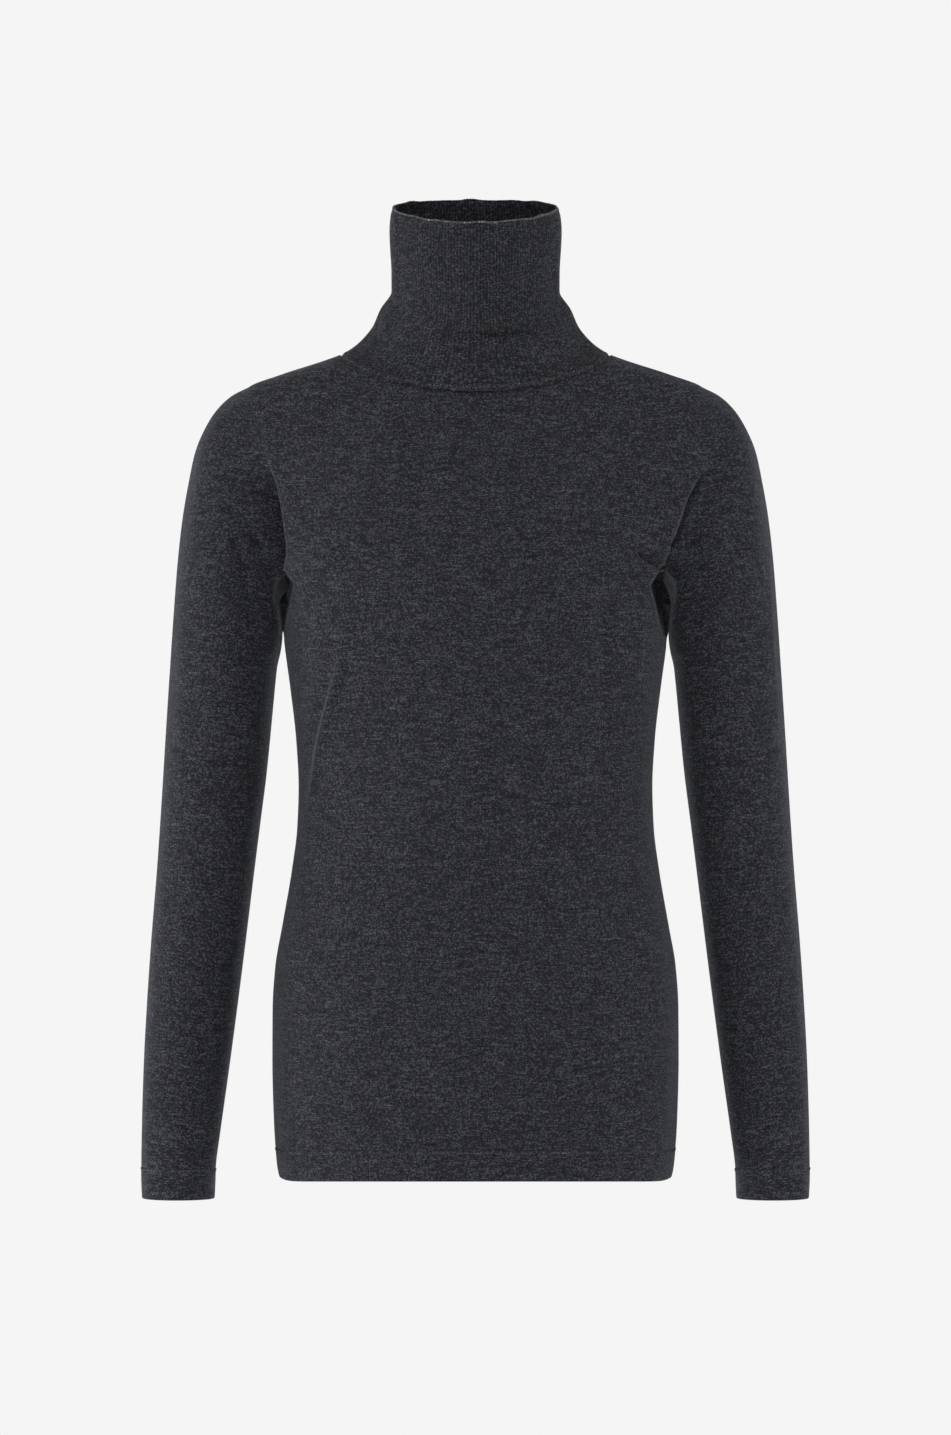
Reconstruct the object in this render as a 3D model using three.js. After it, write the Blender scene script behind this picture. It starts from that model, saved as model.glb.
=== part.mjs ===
// Turtleneck sweater: a fine knitted pullover in its worn shape, with nobody inside it.
// Lengths are in millimetres. The origin is the middle of the neck, level with the neck
// points of the shoulder seams. +X is the wearer's left, -Y the front and +Z up.
// Every piece is a thin wall. Its outer side is the designed surface, and its inner side
// lies one cloth thickness further in.
import * as THREE from "three";

// Cloth
const clothThickness = 1.5;
const collarThickness = 2.0;
const bandThickness = 2.4;
const seamGap = 0.3;
const knitColour = 0x34363c;
const knitRoughness = 0.95;

// Levels and widths of the cut
const hemLevel = -640;
const bandDepth = 23;
const frontHemRise = 5.8;
const backHemRise = 2;
const hemCornerRise = 3.5;
const hemCornerPower = 30;
const underarmLevel = -195;
const shoulderTipLevel = -27;
const neckPointLevel = -2;
const neckHalfWidth = 104;
const frontNeckDrop = 30;
const backNeckRise = 10;
const frontNeckPower = 1.15;
const backNeckPower = 2;

// How finely the surfaces are divided
const panelColumns = 24;
const ridgeColumns = 4;
const lowerRows = 13;
const armholeRows = 12;
const hemRows = 1;
const collarColumns = 32;
const sleeveColumns = 2 * armholeRows;
const cuffRows = 1;

// Sides of the garment, as the sign of Y
const frontSide = -1;
const backSide = 1;
const quarterTurn = Math.PI / 2;

// Level sections of the body. Each is a rounded oblong: half its width, its reach to the
// front and to the back, and how square its corners are, where 2 is an ellipse.
const bodySections = [
  { z: -640, halfWidth: 150, front: 94, back: 97, square: 2.3 },
  { z: -628, halfWidth: 152.6, front: 95, back: 98, square: 2.3 },
  { z: -590, halfWidth: 155.5, front: 96.5, back: 99.5, square: 2.3 },
  { z: -545, halfWidth: 156.6, front: 97, back: 100, square: 2.3 },
  { z: -505, halfWidth: 156.4, front: 96.5, back: 99, square: 2.3 },
  { z: -475, halfWidth: 154.5, front: 95.5, back: 97, square: 2.25 },
  { z: -440, halfWidth: 148.6, front: 93.5, back: 92.5, square: 2.2 },
  { z: -400, halfWidth: 141.7, front: 91.5, back: 87, square: 2.15 },
  { z: -365, halfWidth: 137.4, front: 90.5, back: 83, square: 2.1 },
  { z: -335, halfWidth: 136.4, front: 91, back: 81.5, square: 2.1 },
  { z: -300, halfWidth: 138.2, front: 93.5, back: 82.5, square: 2.1 },
  { z: -260, halfWidth: 142.7, front: 97, back: 85.5, square: 2.15 },
  { z: -226, halfWidth: 147.2, front: 99.8, back: 88, square: 2.2 },
  { z: -205, halfWidth: 149.3, front: 101, back: 89.5, square: 2.25 },
  { z: -195, halfWidth: 150, front: 101.2, back: 90.2, square: 2.25 },
  { z: -185, halfWidth: 151.6, front: 101, back: 90.9, square: 2.25 },
  { z: -170, halfWidth: 155.4, front: 99.8, back: 91.6, square: 2.3 },
  { z: -150, halfWidth: 161.5, front: 96.8, back: 92, square: 2.3 },
  { z: -130, halfWidth: 168, front: 92, back: 91, square: 2.3 },
  { z: -110, halfWidth: 174.5, front: 86, back: 88.5, square: 2.3 },
  { z: -90, halfWidth: 180.5, front: 79, back: 84.5, square: 2.3 },
  { z: -70, halfWidth: 185, front: 71.5, back: 79, square: 2.3 },
  { z: -50, halfWidth: 187, front: 64, back: 72, square: 2.25 },
  { z: -38, halfWidth: 184, front: 60, back: 67, square: 2.2 },
  { z: -27, halfWidth: 174.5, front: 56.5, back: 62, square: 2.1 },
  { z: -17.5, halfWidth: 150, front: 53.5, back: 58.5, square: 2.1 },
  { z: -6, halfWidth: 114.5, front: 50, back: 54.5, square: 2.1 },
  { z: -2, halfWidth: 104, front: 49, back: 53, square: 2.1 },
  { z: 8, halfWidth: 88, front: 46, back: 50, square: 2.1 },
];

// How far from the middle the armhole seam lies at each level
const armholeLine = [
  { z: -195, x: 150 },
  { z: -170, x: 148.5 },
  { z: -150, x: 149.5 },
  { z: -130, x: 152 },
  { z: -110, x: 155 },
  { z: -90, x: 159 },
  { z: -70, x: 164 },
  { z: -50, x: 169 },
  { z: -38, x: 172 },
  { z: -27, x: 174.5 },
];

// Rings of a sleeve, from the armhole to the open end. Each ring stands on the straight
// line from its outer to its inner point, reaches depth to the front and to the back of
// that line, and is moved to middleY as the sleeve swings forward.
const sleeveRings = [
  { outerX: 174.5, outerZ: -27, innerX: 150.3, innerZ: -195, depth: 47, middleY: 0 },
  { outerX: 188, outerZ: -34, innerX: 150.6, innerZ: -201, depth: 48, middleY: 0 },
  { outerX: 200, outerZ: -45.5, innerX: 150.9, innerZ: -207, depth: 49.5, middleY: 0 },
  { outerX: 209, outerZ: -60, innerX: 151.2, innerZ: -213, depth: 51, middleY: 0 },
  { outerX: 216, outerZ: -77, innerX: 151.5, innerZ: -219, depth: 52, middleY: 0 },
  { outerX: 221, outerZ: -100, innerX: 151.6, innerZ: -226, depth: 52, middleY: 0 },
  { outerX: 225.5, outerZ: -126, innerX: 152, innerZ: -233, depth: 51.5, middleY: -0.5 },
  { outerX: 229.4, outerZ: -160, innerX: 152.9, innerZ: -243, depth: 50.5, middleY: -1 },
  { outerX: 232.5, outerZ: -200, innerX: 154.3, innerZ: -257, depth: 48.5, middleY: -2 },
  { outerX: 235.5, outerZ: -245, innerX: 157, innerZ: -286, depth: 46.5, middleY: -3 },
  { outerX: 238.7, outerZ: -295, innerX: 160.6, innerZ: -323, depth: 44.5, middleY: -4 },
  { outerX: 241.7, outerZ: -345, innerX: 166, innerZ: -366, depth: 43, middleY: -5.5 },
  { outerX: 245.2, outerZ: -398, innerX: 171.8, innerZ: -413, depth: 41, middleY: -8 },
  { outerX: 249.3, outerZ: -450, innerX: 177.6, innerZ: -461, depth: 38.5, middleY: -11 },
  { outerX: 252.6, outerZ: -500, innerX: 183.5, innerZ: -508, depth: 36, middleY: -14.5 },
  { outerX: 255, outerZ: -548, innerX: 189.4, innerZ: -553, depth: 33.5, middleY: -18 },
  { outerX: 256.3, outerZ: -595, innerX: 195.5, innerZ: -597, depth: 31.5, middleY: -21 },
  { outerX: 256.7, outerZ: -627, innerX: 199.4, innerZ: -628, depth: 30, middleY: -23 },
  { outerX: 256, outerZ: -651, innerX: 200.3, innerZ: -651, depth: 29.5, middleY: -24.5 },
];
const cuffSeamRing = sleeveRings.length - 2;
const sleeveEndRing = sleeveRings.length - 1;
const armholeFadeRings = 5;

// Rings of the collar, from its seam to its rim, each given by its side, front and back
const collarRings = [
  { halfWidth: 104, sideY: 0, sideZ: -2, frontY: -58, frontZ: -32, backY: 50, backZ: 8 },
  { halfWidth: 97, sideY: -1, sideZ: 1.5, frontY: -59.5, frontZ: -25, backY: 49.5, backZ: 14 },
  { halfWidth: 90.5, sideY: -2, sideZ: 5.5, frontY: -62, frontZ: -16, backY: 48.5, backZ: 22 },
  { halfWidth: 80, sideY: -4, sideZ: 17, frontY: -64, frontZ: -4, backY: 47, backZ: 33 },
  { halfWidth: 73.5, sideY: -7, sideZ: 31, frontY: -64, frontZ: 10, backY: 45, backZ: 46 },
  { halfWidth: 64.5, sideY: -10, sideZ: 46, frontY: -66, frontZ: 24, backY: 43, backZ: 58 },
  { halfWidth: 64.6, sideY: -12.5, sideZ: 62, frontY: -68.5, frontZ: 42, backY: 41, backZ: 71 },
  { halfWidth: 65.6, sideY: -15, sideZ: 78, frontY: -71, frontZ: 60, backY: 38.5, backZ: 86 },
  { halfWidth: 66.2, sideY: -17, sideZ: 92, frontY: -73, frontZ: 77, backY: 36.5, backZ: 101 },
  { halfWidth: 65.4, sideY: -19, sideZ: 103, frontY: -74, frontZ: 88, backY: 35, backZ: 112 },
  { halfWidth: 63.5, sideY: -20, sideZ: 109.5, frontY: -74, frontZ: 95, backY: 34, backZ: 118.8 },
];
const collarRimRing = collarRings.length - 1;
const necklineFadeRings = 3;

// Soft folds, as lines seen from the front. Each lifts the cloth by its height, or sinks
// it where the height is negative, and dies away over its width.
const folds = [
  { piece: "front", fromX: -106, fromZ: -212, toX: -123, toZ: -304, width: 14, height: 2.6 },
  { piece: "front", fromX: 100, fromZ: -185, toX: 98, toZ: -315, width: 16, height: -2.2 },
  { piece: "front", fromX: 52, fromZ: -150, toX: 128, toZ: -134, width: 20, height: -2.4 },
  { piece: "back", fromX: -70, fromZ: -165, toX: -84, toZ: -330, width: 20, height: -2.4 },
  { piece: "back", fromX: 62, fromZ: -190, toX: 78, toZ: -370, width: 22, height: -2.0 },
  { piece: "back", fromX: -60, fromZ: -372, toX: 48, toZ: -384, width: 18, height: 2.2 },
  { piece: "left front", fromX: 156, fromZ: -156, toX: 184, toZ: -88, width: 13, height: -3.6 },
  { piece: "left front", fromX: 178, fromZ: -250, toX: 222, toZ: -208, width: 18, height: -2.0 },
  { piece: "left back", fromX: 162, fromZ: -160, toX: 196, toZ: -112, width: 15, height: -3.0 },
  { piece: "left back", fromX: 176, fromZ: -352, toX: 232, toZ: -330, width: 18, height: -2.2 },
  { piece: "right front", fromX: -181, fromZ: -130, toX: -165, toZ: -207, width: 14, height: -2.8 },
  { piece: "right front", fromX: -176, fromZ: -330, toX: -226, toZ: -300, width: 20, height: -1.8 },
  { piece: "right back", fromX: -164, fromZ: -170, toX: -198, toZ: -118, width: 15, height: -3.0 },
  { piece: "right back", fromX: -180, fromZ: -368, toX: -236, toZ: -340, width: 18, height: -2.2 },
  { piece: "collar front", fromX: -12, fromZ: 8, toX: 62, toZ: 10, width: 9, height: -1.8 },
  { piece: "collar back", fromX: -50, fromZ: 44, toX: 30, toZ: 50, width: 11, height: -1.6 },
];
const sideFadePower = 12;
const armholeFoldRings = 2;

// A smooth curve through the rows of a table that never swings past its rows
function curveThrough(places, values) {
  const last = places.length - 1;
  const slopes = [];
  for (let i = 0; i < last; i += 1) {
    slopes.push((values[i + 1] - values[i]) / (places[i + 1] - places[i]));
  }
  const tangents = [slopes[0]];
  for (let i = 1; i < last; i += 1) {
    const before = slopes[i - 1];
    const after = slopes[i];
    const shareBefore = places[i + 1] - places[i] + (places[i + 1] - places[i - 1]);
    const shareAfter = places[i] - places[i - 1] + (places[i + 1] - places[i - 1]);
    const turns = before * after <= 0;
    const mean = (shareBefore + shareAfter) / (shareBefore / before + shareAfter / after);
    tangents.push(turns ? 0 : mean);
  }
  tangents.push(slopes[last - 1]);
  return (place) => {
    if (place <= places[0]) {
      return values[0] + tangents[0] * (place - places[0]);
    }
    if (place >= places[last]) {
      return values[last] + tangents[last] * (place - places[last]);
    }
    let i = 0;
    while (place > places[i + 1]) {
      i += 1;
    }
    const step = places[i + 1] - places[i];
    const s = (place - places[i]) / step;
    const start = (1 + 2 * s) * (1 - s) ** 2 * values[i] + s * (1 - s) ** 2 * step * tangents[i];
    const end = (3 - 2 * s) * s ** 2 * values[i + 1] - (1 - s) * s ** 2 * step * tangents[i + 1];
    return start + end;
  };
}

// One curve for each column of a table, along the column named key or along the row count
function tableCurves(rows, key) {
  const places = rows.map((row, index) => (key ? row[key] : index));
  const curves = {};
  for (const name of Object.keys(rows[0])) {
    curves[name] = curveThrough(places, rows.map((row) => row[name]));
  }
  return curves;
}

const body = tableCurves(bodySections, "z");
const armhole = tableCurves(armholeLine, "z");
const sleeve = tableCurves(sleeveRings);
const collar = tableCurves(collarRings);

// Rises smoothly from 0 to 1 as the value goes from 0 to 1
function smoothStep(value) {
  const s = Math.min(1, Math.max(0, value));
  return s * s * (3 - 2 * s);
}

// Lift of the cloth of one piece where it is seen from the front at x and z
function foldLift(piece, x, z) {
  let lift = 0;
  for (const fold of folds) {
    if (fold.piece !== piece) {
      continue;
    }
    const runX = fold.toX - fold.fromX;
    const runZ = fold.toZ - fold.fromZ;
    const share = ((x - fold.fromX) * runX + (z - fold.fromZ) * runZ) / (runX ** 2 + runZ ** 2);
    const along = Math.min(1, Math.max(0, share));
    const away = Math.hypot(x - fold.fromX - along * runX, z - fold.fromZ - along * runZ);
    lift += fold.height * Math.exp(-((away / fold.width) ** 2));
  }
  return lift;
}

// Reach of the body to one side at a level
function bodyReach(side, z) {
  return side === frontSide ? body.front(z) : body.back(z);
}

// Tells whether a point lies on its level section: 1 on it, less inside and more outside
function sectionValue(side, x, y, z) {
  const square = body.square(z);
  const wide = Math.abs(x) / body.halfWidth(z);
  const deep = Math.abs(y) / bodyReach(side, z);
  return wide ** square + deep ** square;
}

// Outward direction of the body at a point of its surface
function bodyNormal(side, x, y, z) {
  const step = 0.5;
  const square = body.square(z);
  const across = Math.sign(x) * (Math.abs(x) / body.halfWidth(z)) ** (square - 1);
  const through = side * (Math.abs(y) / bodyReach(side, z)) ** (square - 1);
  const rise = sectionValue(side, x, y, z + step) - sectionValue(side, x, y, z - step);
  return new THREE.Vector3(
    (square * across) / body.halfWidth(z),
    (square * through) / bodyReach(side, z),
    rise / (2 * step),
  ).normalize();
}

// Point of the front or back panel at a turn round its level section, set in by inset
function bodyPoint(side, turn, z, inset) {
  const power = 2 / body.square(z);
  const x = Math.sign(turn) * body.halfWidth(z) * Math.abs(Math.sin(turn)) ** power;
  const y = side * bodyReach(side, z) * Math.abs(Math.cos(turn)) ** power;
  const fade = 1 - Math.abs(Math.sin(turn)) ** sideFadePower;
  const lift = fade * foldLift(side === frontSide ? "front" : "back", x, z);
  const point = new THREE.Vector3(x, y, z);
  point.addScaledVector(bodyNormal(side, x, y, z), lift - inset);
  point.y += (side * seamGap) / 2;
  return point;
}

// Turn at which a distance x from the middle lies on the level section
function turnAt(x, z) {
  const share = Math.min(1, Math.abs(x) / body.halfWidth(z));
  return Math.sign(x) * Math.asin(share ** (body.square(z) / 2));
}

// Level of the lower edge at a turn round the hem
function hemAt(side, turn) {
  const power = 2 / body.square(hemLevel);
  const rise = side === frontSide ? frontHemRise : backHemRise;
  const middle = rise * Math.abs(Math.cos(turn)) ** power;
  const corner = hemCornerRise * Math.abs(Math.sin(turn)) ** hemCornerPower;
  return hemLevel + middle + corner;
}

// Level of the armhole seam, from the underarm at 0 to the shoulder tip at 1
function armholeLevel(up) {
  const share = (1 - Math.cos(Math.PI * up)) / 2;
  return underarmLevel + (shoulderTipLevel - underarmLevel) * share;
}

// Place on the armhole seam, seen from the front, at the side with the sign of X
function armholePlace(sign, up) {
  const z = armholeLevel(up);
  return { x: sign * armhole.x(z), z };
}

// Place on the neckline at an angle from the middle of the panel
function necklinePlace(side, angle) {
  const power = side === frontSide ? frontNeckPower : backNeckPower;
  const middle = Math.abs(Math.cos(angle)) ** power;
  const rise = side === frontSide ? -frontNeckDrop : backNeckRise;
  return { x: neckHalfWidth * Math.sin(angle), z: neckPointLevel + rise * middle };
}

// Place on the upper edge of a panel: its neckline in the middle, shoulder seams beside it
function upperEdgePlace(side, across) {
  const neckShare = 1 - (2 * ridgeColumns) / panelColumns;
  if (Math.abs(across) <= neckShare) {
    return necklinePlace(side, (across / neckShare) * quarterTurn);
  }
  const out = (Math.abs(across) - neckShare) / (1 - neckShare);
  const z = neckPointLevel + (shoulderTipLevel - neckPointLevel) * out;
  return { x: Math.sign(across) * body.halfWidth(z), z };
}

// Place on the level of the underarm
function underarmPlace(across) {
  const power = 2 / body.square(underarmLevel);
  const share = Math.abs(Math.sin(across * quarterTurn)) ** power;
  return { x: Math.sign(across) * body.halfWidth(underarmLevel) * share, z: underarmLevel };
}

// Place between the armholes, blended from the four edges of that part of the panel
function yokePlace(side, across, up) {
  const right = (across + 1) / 2;
  const left = 1 - right;
  const down = 1 - up;
  const lower = underarmPlace(across);
  const upper = upperEdgePlace(side, across);
  const leftEdge = armholePlace(-1, up);
  const rightEdge = armholePlace(1, up);
  const underarm = underarmPlace(1);
  const tip = armholePlace(1, 1);
  const cornerX = (right - left) * (down * underarm.x + up * tip.x);
  const cornerZ = down * underarm.z + up * tip.z;
  return {
    x: down * lower.x + up * upper.x + left * leftEdge.x + right * rightEdge.x - cornerX,
    z: down * lower.z + up * upper.z + left * leftEdge.z + right * rightEdge.z - cornerZ,
  };
}

// Point of a panel at a place seen from the front
function panelPoint(side, place, inset) {
  return bodyPoint(side, turnAt(place.x, place.z), place.z, inset);
}

// Point of the armhole seam at an angle round the sleeve, 0 at the shoulder tip
function armholePoint(angle) {
  const side = angle <= Math.PI ? frontSide : backSide;
  const up = 1 - (angle <= Math.PI ? angle : 2 * Math.PI - angle) / Math.PI;
  const point = panelPoint(side, armholePlace(1, up), 0);
  if (up === 0 || up === 1) {
    point.y = 0;
  }
  point.x += seamGap;
  return point;
}

// Point of a sleeve ring before it is fitted to the armhole
function sleeveRingPoint(angle, along) {
  const share = (1 - Math.cos(angle)) / 2;
  const x = sleeve.outerX(along) + share * (sleeve.innerX(along) - sleeve.outerX(along));
  const z = sleeve.outerZ(along) + share * (sleeve.innerZ(along) - sleeve.outerZ(along));
  const y = sleeve.middleY(along) - sleeve.depth(along) * Math.sin(angle);
  return new THREE.Vector3(x, y, z);
}

// Point of the outer side of a sleeve. The angle runs from the shoulder tip over the front.
function sleeveSurface(sign, angle, along) {
  const round = ((angle % (2 * Math.PI)) + 2 * Math.PI) % (2 * Math.PI);
  const point = sleeveRingPoint(round, along);
  const fitted = 1 - smoothStep(along / armholeFadeRings);
  const fit = armholePoint(round).sub(sleeveRingPoint(round, 0));
  point.addScaledVector(fit, fitted);
  const piece = (sign > 0 ? "left" : "right") + (Math.sin(round) > 0 ? " front" : " back");
  const free = smoothStep(along / armholeFoldRings);
  const fade = free * (1 - Math.abs(Math.cos(round)) ** sideFadePower);
  point.y -= Math.sign(Math.sin(round)) * fade * foldLift(piece, sign * point.x, point.z);
  point.x *= sign;
  return point;
}

// Point of the outer side of the collar. The angle runs from the front over +X.
function collarSurface(angle, along) {
  const side = Math.cos(angle) > 0 ? frontSide : backSide;
  const ring = (front, middle, back) => {
    const ends = (front + back) / 2;
    const swing = ((front - back) / 2) * Math.cos(angle);
    return (ends + middle) / 2 + swing + ((ends - middle) / 2) * Math.cos(2 * angle);
  };
  const ringPoint = (place) =>
    new THREE.Vector3(
      collar.halfWidth(place) * Math.sin(angle),
      ring(collar.frontY(place), collar.sideY(place), collar.backY(place)),
      ring(collar.frontZ(place), collar.sideZ(place), collar.backZ(place)),
    );
  const point = ringPoint(along);
  const fromMiddle = Math.asin(Math.sin(angle));
  const neckline = panelPoint(side, necklinePlace(side, fromMiddle), 0);
  neckline.z += seamGap;
  const fitted = 1 - smoothStep(along / necklineFadeRings);
  point.addScaledVector(neckline.sub(ringPoint(0)), fitted);
  const fade = 1 - Math.abs(Math.sin(angle)) ** sideFadePower;
  const piece = side === frontSide ? "collar front" : "collar back";
  point.y += side * fade * foldLift(piece, point.x, point.z);
  return point;
}

// Point set in from a surface of two parameters, along the direction that faces out
function insetPoint(surface, first, second, inset, outward) {
  const point = surface(first, second);
  if (inset === 0) {
    return point;
  }
  const step = 0.01;
  const before = Math.max(0, second - step);
  const alongFirst = surface(first + step, second).sub(surface(first - step, second));
  const alongSecond = surface(first, second + step).sub(surface(first, before));
  const normal = alongFirst.cross(alongSecond).normalize();
  return point.addScaledVector(normal, -outward * inset);
}

// Grid of points with rows and columns, from a function of the row and column
function gridOf(rows, columns, pointAt) {
  const grid = [];
  for (let row = 0; row <= rows; row += 1) {
    const line = [];
    for (let column = 0; column < columns; column += 1) {
      line.push(pointAt(row, column));
    }
    grid.push(line);
  }
  return grid;
}

// Closed wall between an outer and an inner grid. A ring joins its last column to its first.
function wallGeometry(outer, inner, isRing) {
  const rows = outer.length;
  const columns = outer[0].length;
  const positions = [];
  for (const grid of [outer, inner]) {
    for (const line of grid) {
      for (const point of line) {
        positions.push(point.x, point.y, point.z);
      }
    }
  }
  const outerAt = (row, column) => row * columns + (column % columns);
  const innerAt = (row, column) => rows * columns + outerAt(row, column);
  const faces = [];
  const addQuad = (a, b, c, d) => {
    faces.push(a, b, c, a, c, d);
  };
  const steps = isRing ? columns : columns - 1;
  for (let column = 0; column < steps; column += 1) {
    const next = column + 1;
    for (let row = 0; row < rows - 1; row += 1) {
      const up = row + 1;
      addQuad(outerAt(row, column), outerAt(row, next), outerAt(up, next), outerAt(up, column));
      addQuad(innerAt(row, column), innerAt(up, column), innerAt(up, next), innerAt(row, next));
    }
    const top = rows - 1;
    addQuad(outerAt(0, next), outerAt(0, column), innerAt(0, column), innerAt(0, next));
    addQuad(outerAt(top, column), outerAt(top, next), innerAt(top, next), innerAt(top, column));
  }
  if (!isRing) {
    const last = columns - 1;
    for (let row = 0; row < rows - 1; row += 1) {
      const up = row + 1;
      addQuad(outerAt(row, 0), outerAt(up, 0), innerAt(up, 0), innerAt(row, 0));
      addQuad(outerAt(up, last), outerAt(row, last), innerAt(row, last), innerAt(up, last));
    }
  }
  return facingOut(positions, faces);
}

// Geometry of a closed body with its faces turned out
function facingOut(positions, faces) {
  const corner = (index) => new THREE.Vector3().fromArray(positions, 3 * index);
  let volume = 0;
  for (let i = 0; i < faces.length; i += 3) {
    const across = corner(faces[i + 1]).cross(corner(faces[i + 2]));
    volume += corner(faces[i]).dot(across);
  }
  if (volume < 0) {
    faces.reverse();
  }
  const geometry = new THREE.BufferGeometry();
  geometry.setAttribute("position", new THREE.Float32BufferAttribute(positions, 3));
  geometry.setIndex(faces);
  geometry.computeVertexNormals();
  return geometry;
}

// Named mesh of one piece of knitted cloth
function clothPiece(name, geometry) {
  const material = new THREE.MeshStandardMaterial({
    color: knitColour,
    roughness: knitRoughness,
    metalness: 0,
  });
  const mesh = new THREE.Mesh(geometry, material);
  mesh.name = name;
  return mesh;
}

// Front or back panel: even rows below the underarm, then rows fitted to the armholes
function bodyPanel(name, side) {
  const pointAt = (inset) => (row, column) => {
    const across = (2 * column) / panelColumns - 1;
    if (row > lowerRows) {
      return panelPoint(side, yokePlace(side, across, (row - lowerRows) / armholeRows), inset);
    }
    const turn = across * quarterTurn;
    const seam = hemAt(side, turn) + bandDepth + seamGap;
    const z = seam + ((underarmLevel - seam) * row) / lowerRows;
    return bodyPoint(side, turn, z, inset);
  };
  const rows = lowerRows + armholeRows;
  const outer = gridOf(rows, panelColumns + 1, pointAt(0));
  const inner = gridOf(rows, panelColumns + 1, pointAt(clothThickness));
  return clothPiece(name, wallGeometry(outer, inner, false));
}

// Band along the lower edge of a panel
function hemBand(name, side) {
  const pointAt = (inset) => (row, column) => {
    const turn = ((2 * column) / panelColumns - 1) * quarterTurn;
    const z = hemAt(side, turn) + (bandDepth * row) / hemRows;
    return bodyPoint(side, turn, z, inset);
  };
  const outer = gridOf(hemRows, panelColumns + 1, pointAt(0));
  const inner = gridOf(hemRows, panelColumns + 1, pointAt(bandThickness));
  return clothPiece(name, wallGeometry(outer, inner, false));
}

// Tube of a sleeve between two ring places
function sleeveTube(name, sign, places, thickness) {
  const surface = (angle, along) => sleeveSurface(sign, angle, along);
  const pointAt = (inset) => (row, column) => {
    const angle = (2 * Math.PI * column) / sleeveColumns;
    return insetPoint(surface, angle, places[row], inset, sign);
  };
  const outer = gridOf(places.length - 1, sleeveColumns, pointAt(0));
  const inner = gridOf(places.length - 1, sleeveColumns, pointAt(thickness));
  return clothPiece(name, wallGeometry(outer, inner, true));
}

// Sleeve from its armhole to the seam of its cuff
function sleevePiece(name, sign) {
  const places = sleeveRings.map((ring, index) => index).slice(0, cuffSeamRing + 1);
  return sleeveTube(name, sign, places, clothThickness);
}

// Cuff band at the end of a sleeve
function cuffBand(name, sign) {
  const start = cuffSeamRing + seamGap / bandDepth;
  const places = [];
  for (let row = 0; row <= cuffRows; row += 1) {
    places.push(start + ((sleeveEndRing - start) * row) / cuffRows);
  }
  return sleeveTube(name, sign, places, bandThickness);
}

// Standing collar, open at its rim
function collarPiece(name) {
  const pointAt = (inset) => (row, column) => {
    const angle = (2 * Math.PI * column) / collarColumns;
    return insetPoint(collarSurface, angle, row, inset, 1);
  };
  const outer = gridOf(collarRimRing, collarColumns, pointAt(0));
  const inner = gridOf(collarRimRing, collarColumns, pointAt(collarThickness));
  return clothPiece(name, wallGeometry(outer, inner, true));
}

const sweater = new THREE.Group();
sweater.name = "turtleneck_sweater";
sweater.add(
  bodyPanel("front", frontSide),
  bodyPanel("back", backSide),
  sleevePiece("sleeve_left", 1),
  sleevePiece("sleeve_right", -1),
  collarPiece("collar"),
  hemBand("hem_front", frontSide),
  hemBand("hem_back", backSide),
  cuffBand("cuff_left", 1),
  cuffBand("cuff_right", -1),
);

export default sweater;
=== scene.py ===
"""Looks of a fine knitted turtleneck sweater in its worn shape, with nobody inside it.

Lengths in the tables are in millimetres and every mesh is in metres. The origin is the
middle of the neck, level with the neck points of the shoulder seams. +X is the wearer's
left, -Y the front and +Z up.
"""

import logging
import math
from dataclasses import dataclass, field
from enum import Enum

import bpy
import numpy as np
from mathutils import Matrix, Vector

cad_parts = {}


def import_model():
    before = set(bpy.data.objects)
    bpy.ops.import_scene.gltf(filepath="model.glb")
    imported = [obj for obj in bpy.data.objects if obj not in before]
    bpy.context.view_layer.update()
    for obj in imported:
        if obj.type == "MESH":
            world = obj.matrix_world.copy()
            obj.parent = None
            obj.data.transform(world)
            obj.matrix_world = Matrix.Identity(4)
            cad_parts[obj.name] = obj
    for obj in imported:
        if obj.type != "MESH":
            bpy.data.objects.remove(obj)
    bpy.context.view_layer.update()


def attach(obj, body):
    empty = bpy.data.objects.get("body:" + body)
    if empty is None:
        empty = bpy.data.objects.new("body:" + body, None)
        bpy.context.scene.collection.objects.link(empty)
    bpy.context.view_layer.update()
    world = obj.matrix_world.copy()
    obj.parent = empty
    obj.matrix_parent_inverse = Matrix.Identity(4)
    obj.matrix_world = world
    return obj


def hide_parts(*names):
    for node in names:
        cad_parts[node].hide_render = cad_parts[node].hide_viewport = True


log = logging.getLogger("sweater")

Array = np.ndarray
Piece = bpy.types.Object
Socket = bpy.types.NodeSocket
Material = bpy.types.Material
Color = tuple[float, float, float]
Creases = dict[str, tuple["Crease", ...]]
Table = tuple[tuple[float, ...], ...]

MM = 0.001
BODY = "root"
CLOTH_UV = "cloth"
WRONG_SIDE = "wrong side"
QUARTER = math.pi / 2

# Dip of the cloth where a band is linked on, its width, and the fold of a band, in millimetres
LINKING_DIP = 0.6
LINKING_WIDTH = 1.4
FOLD_RADIUS = 1.1

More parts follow.
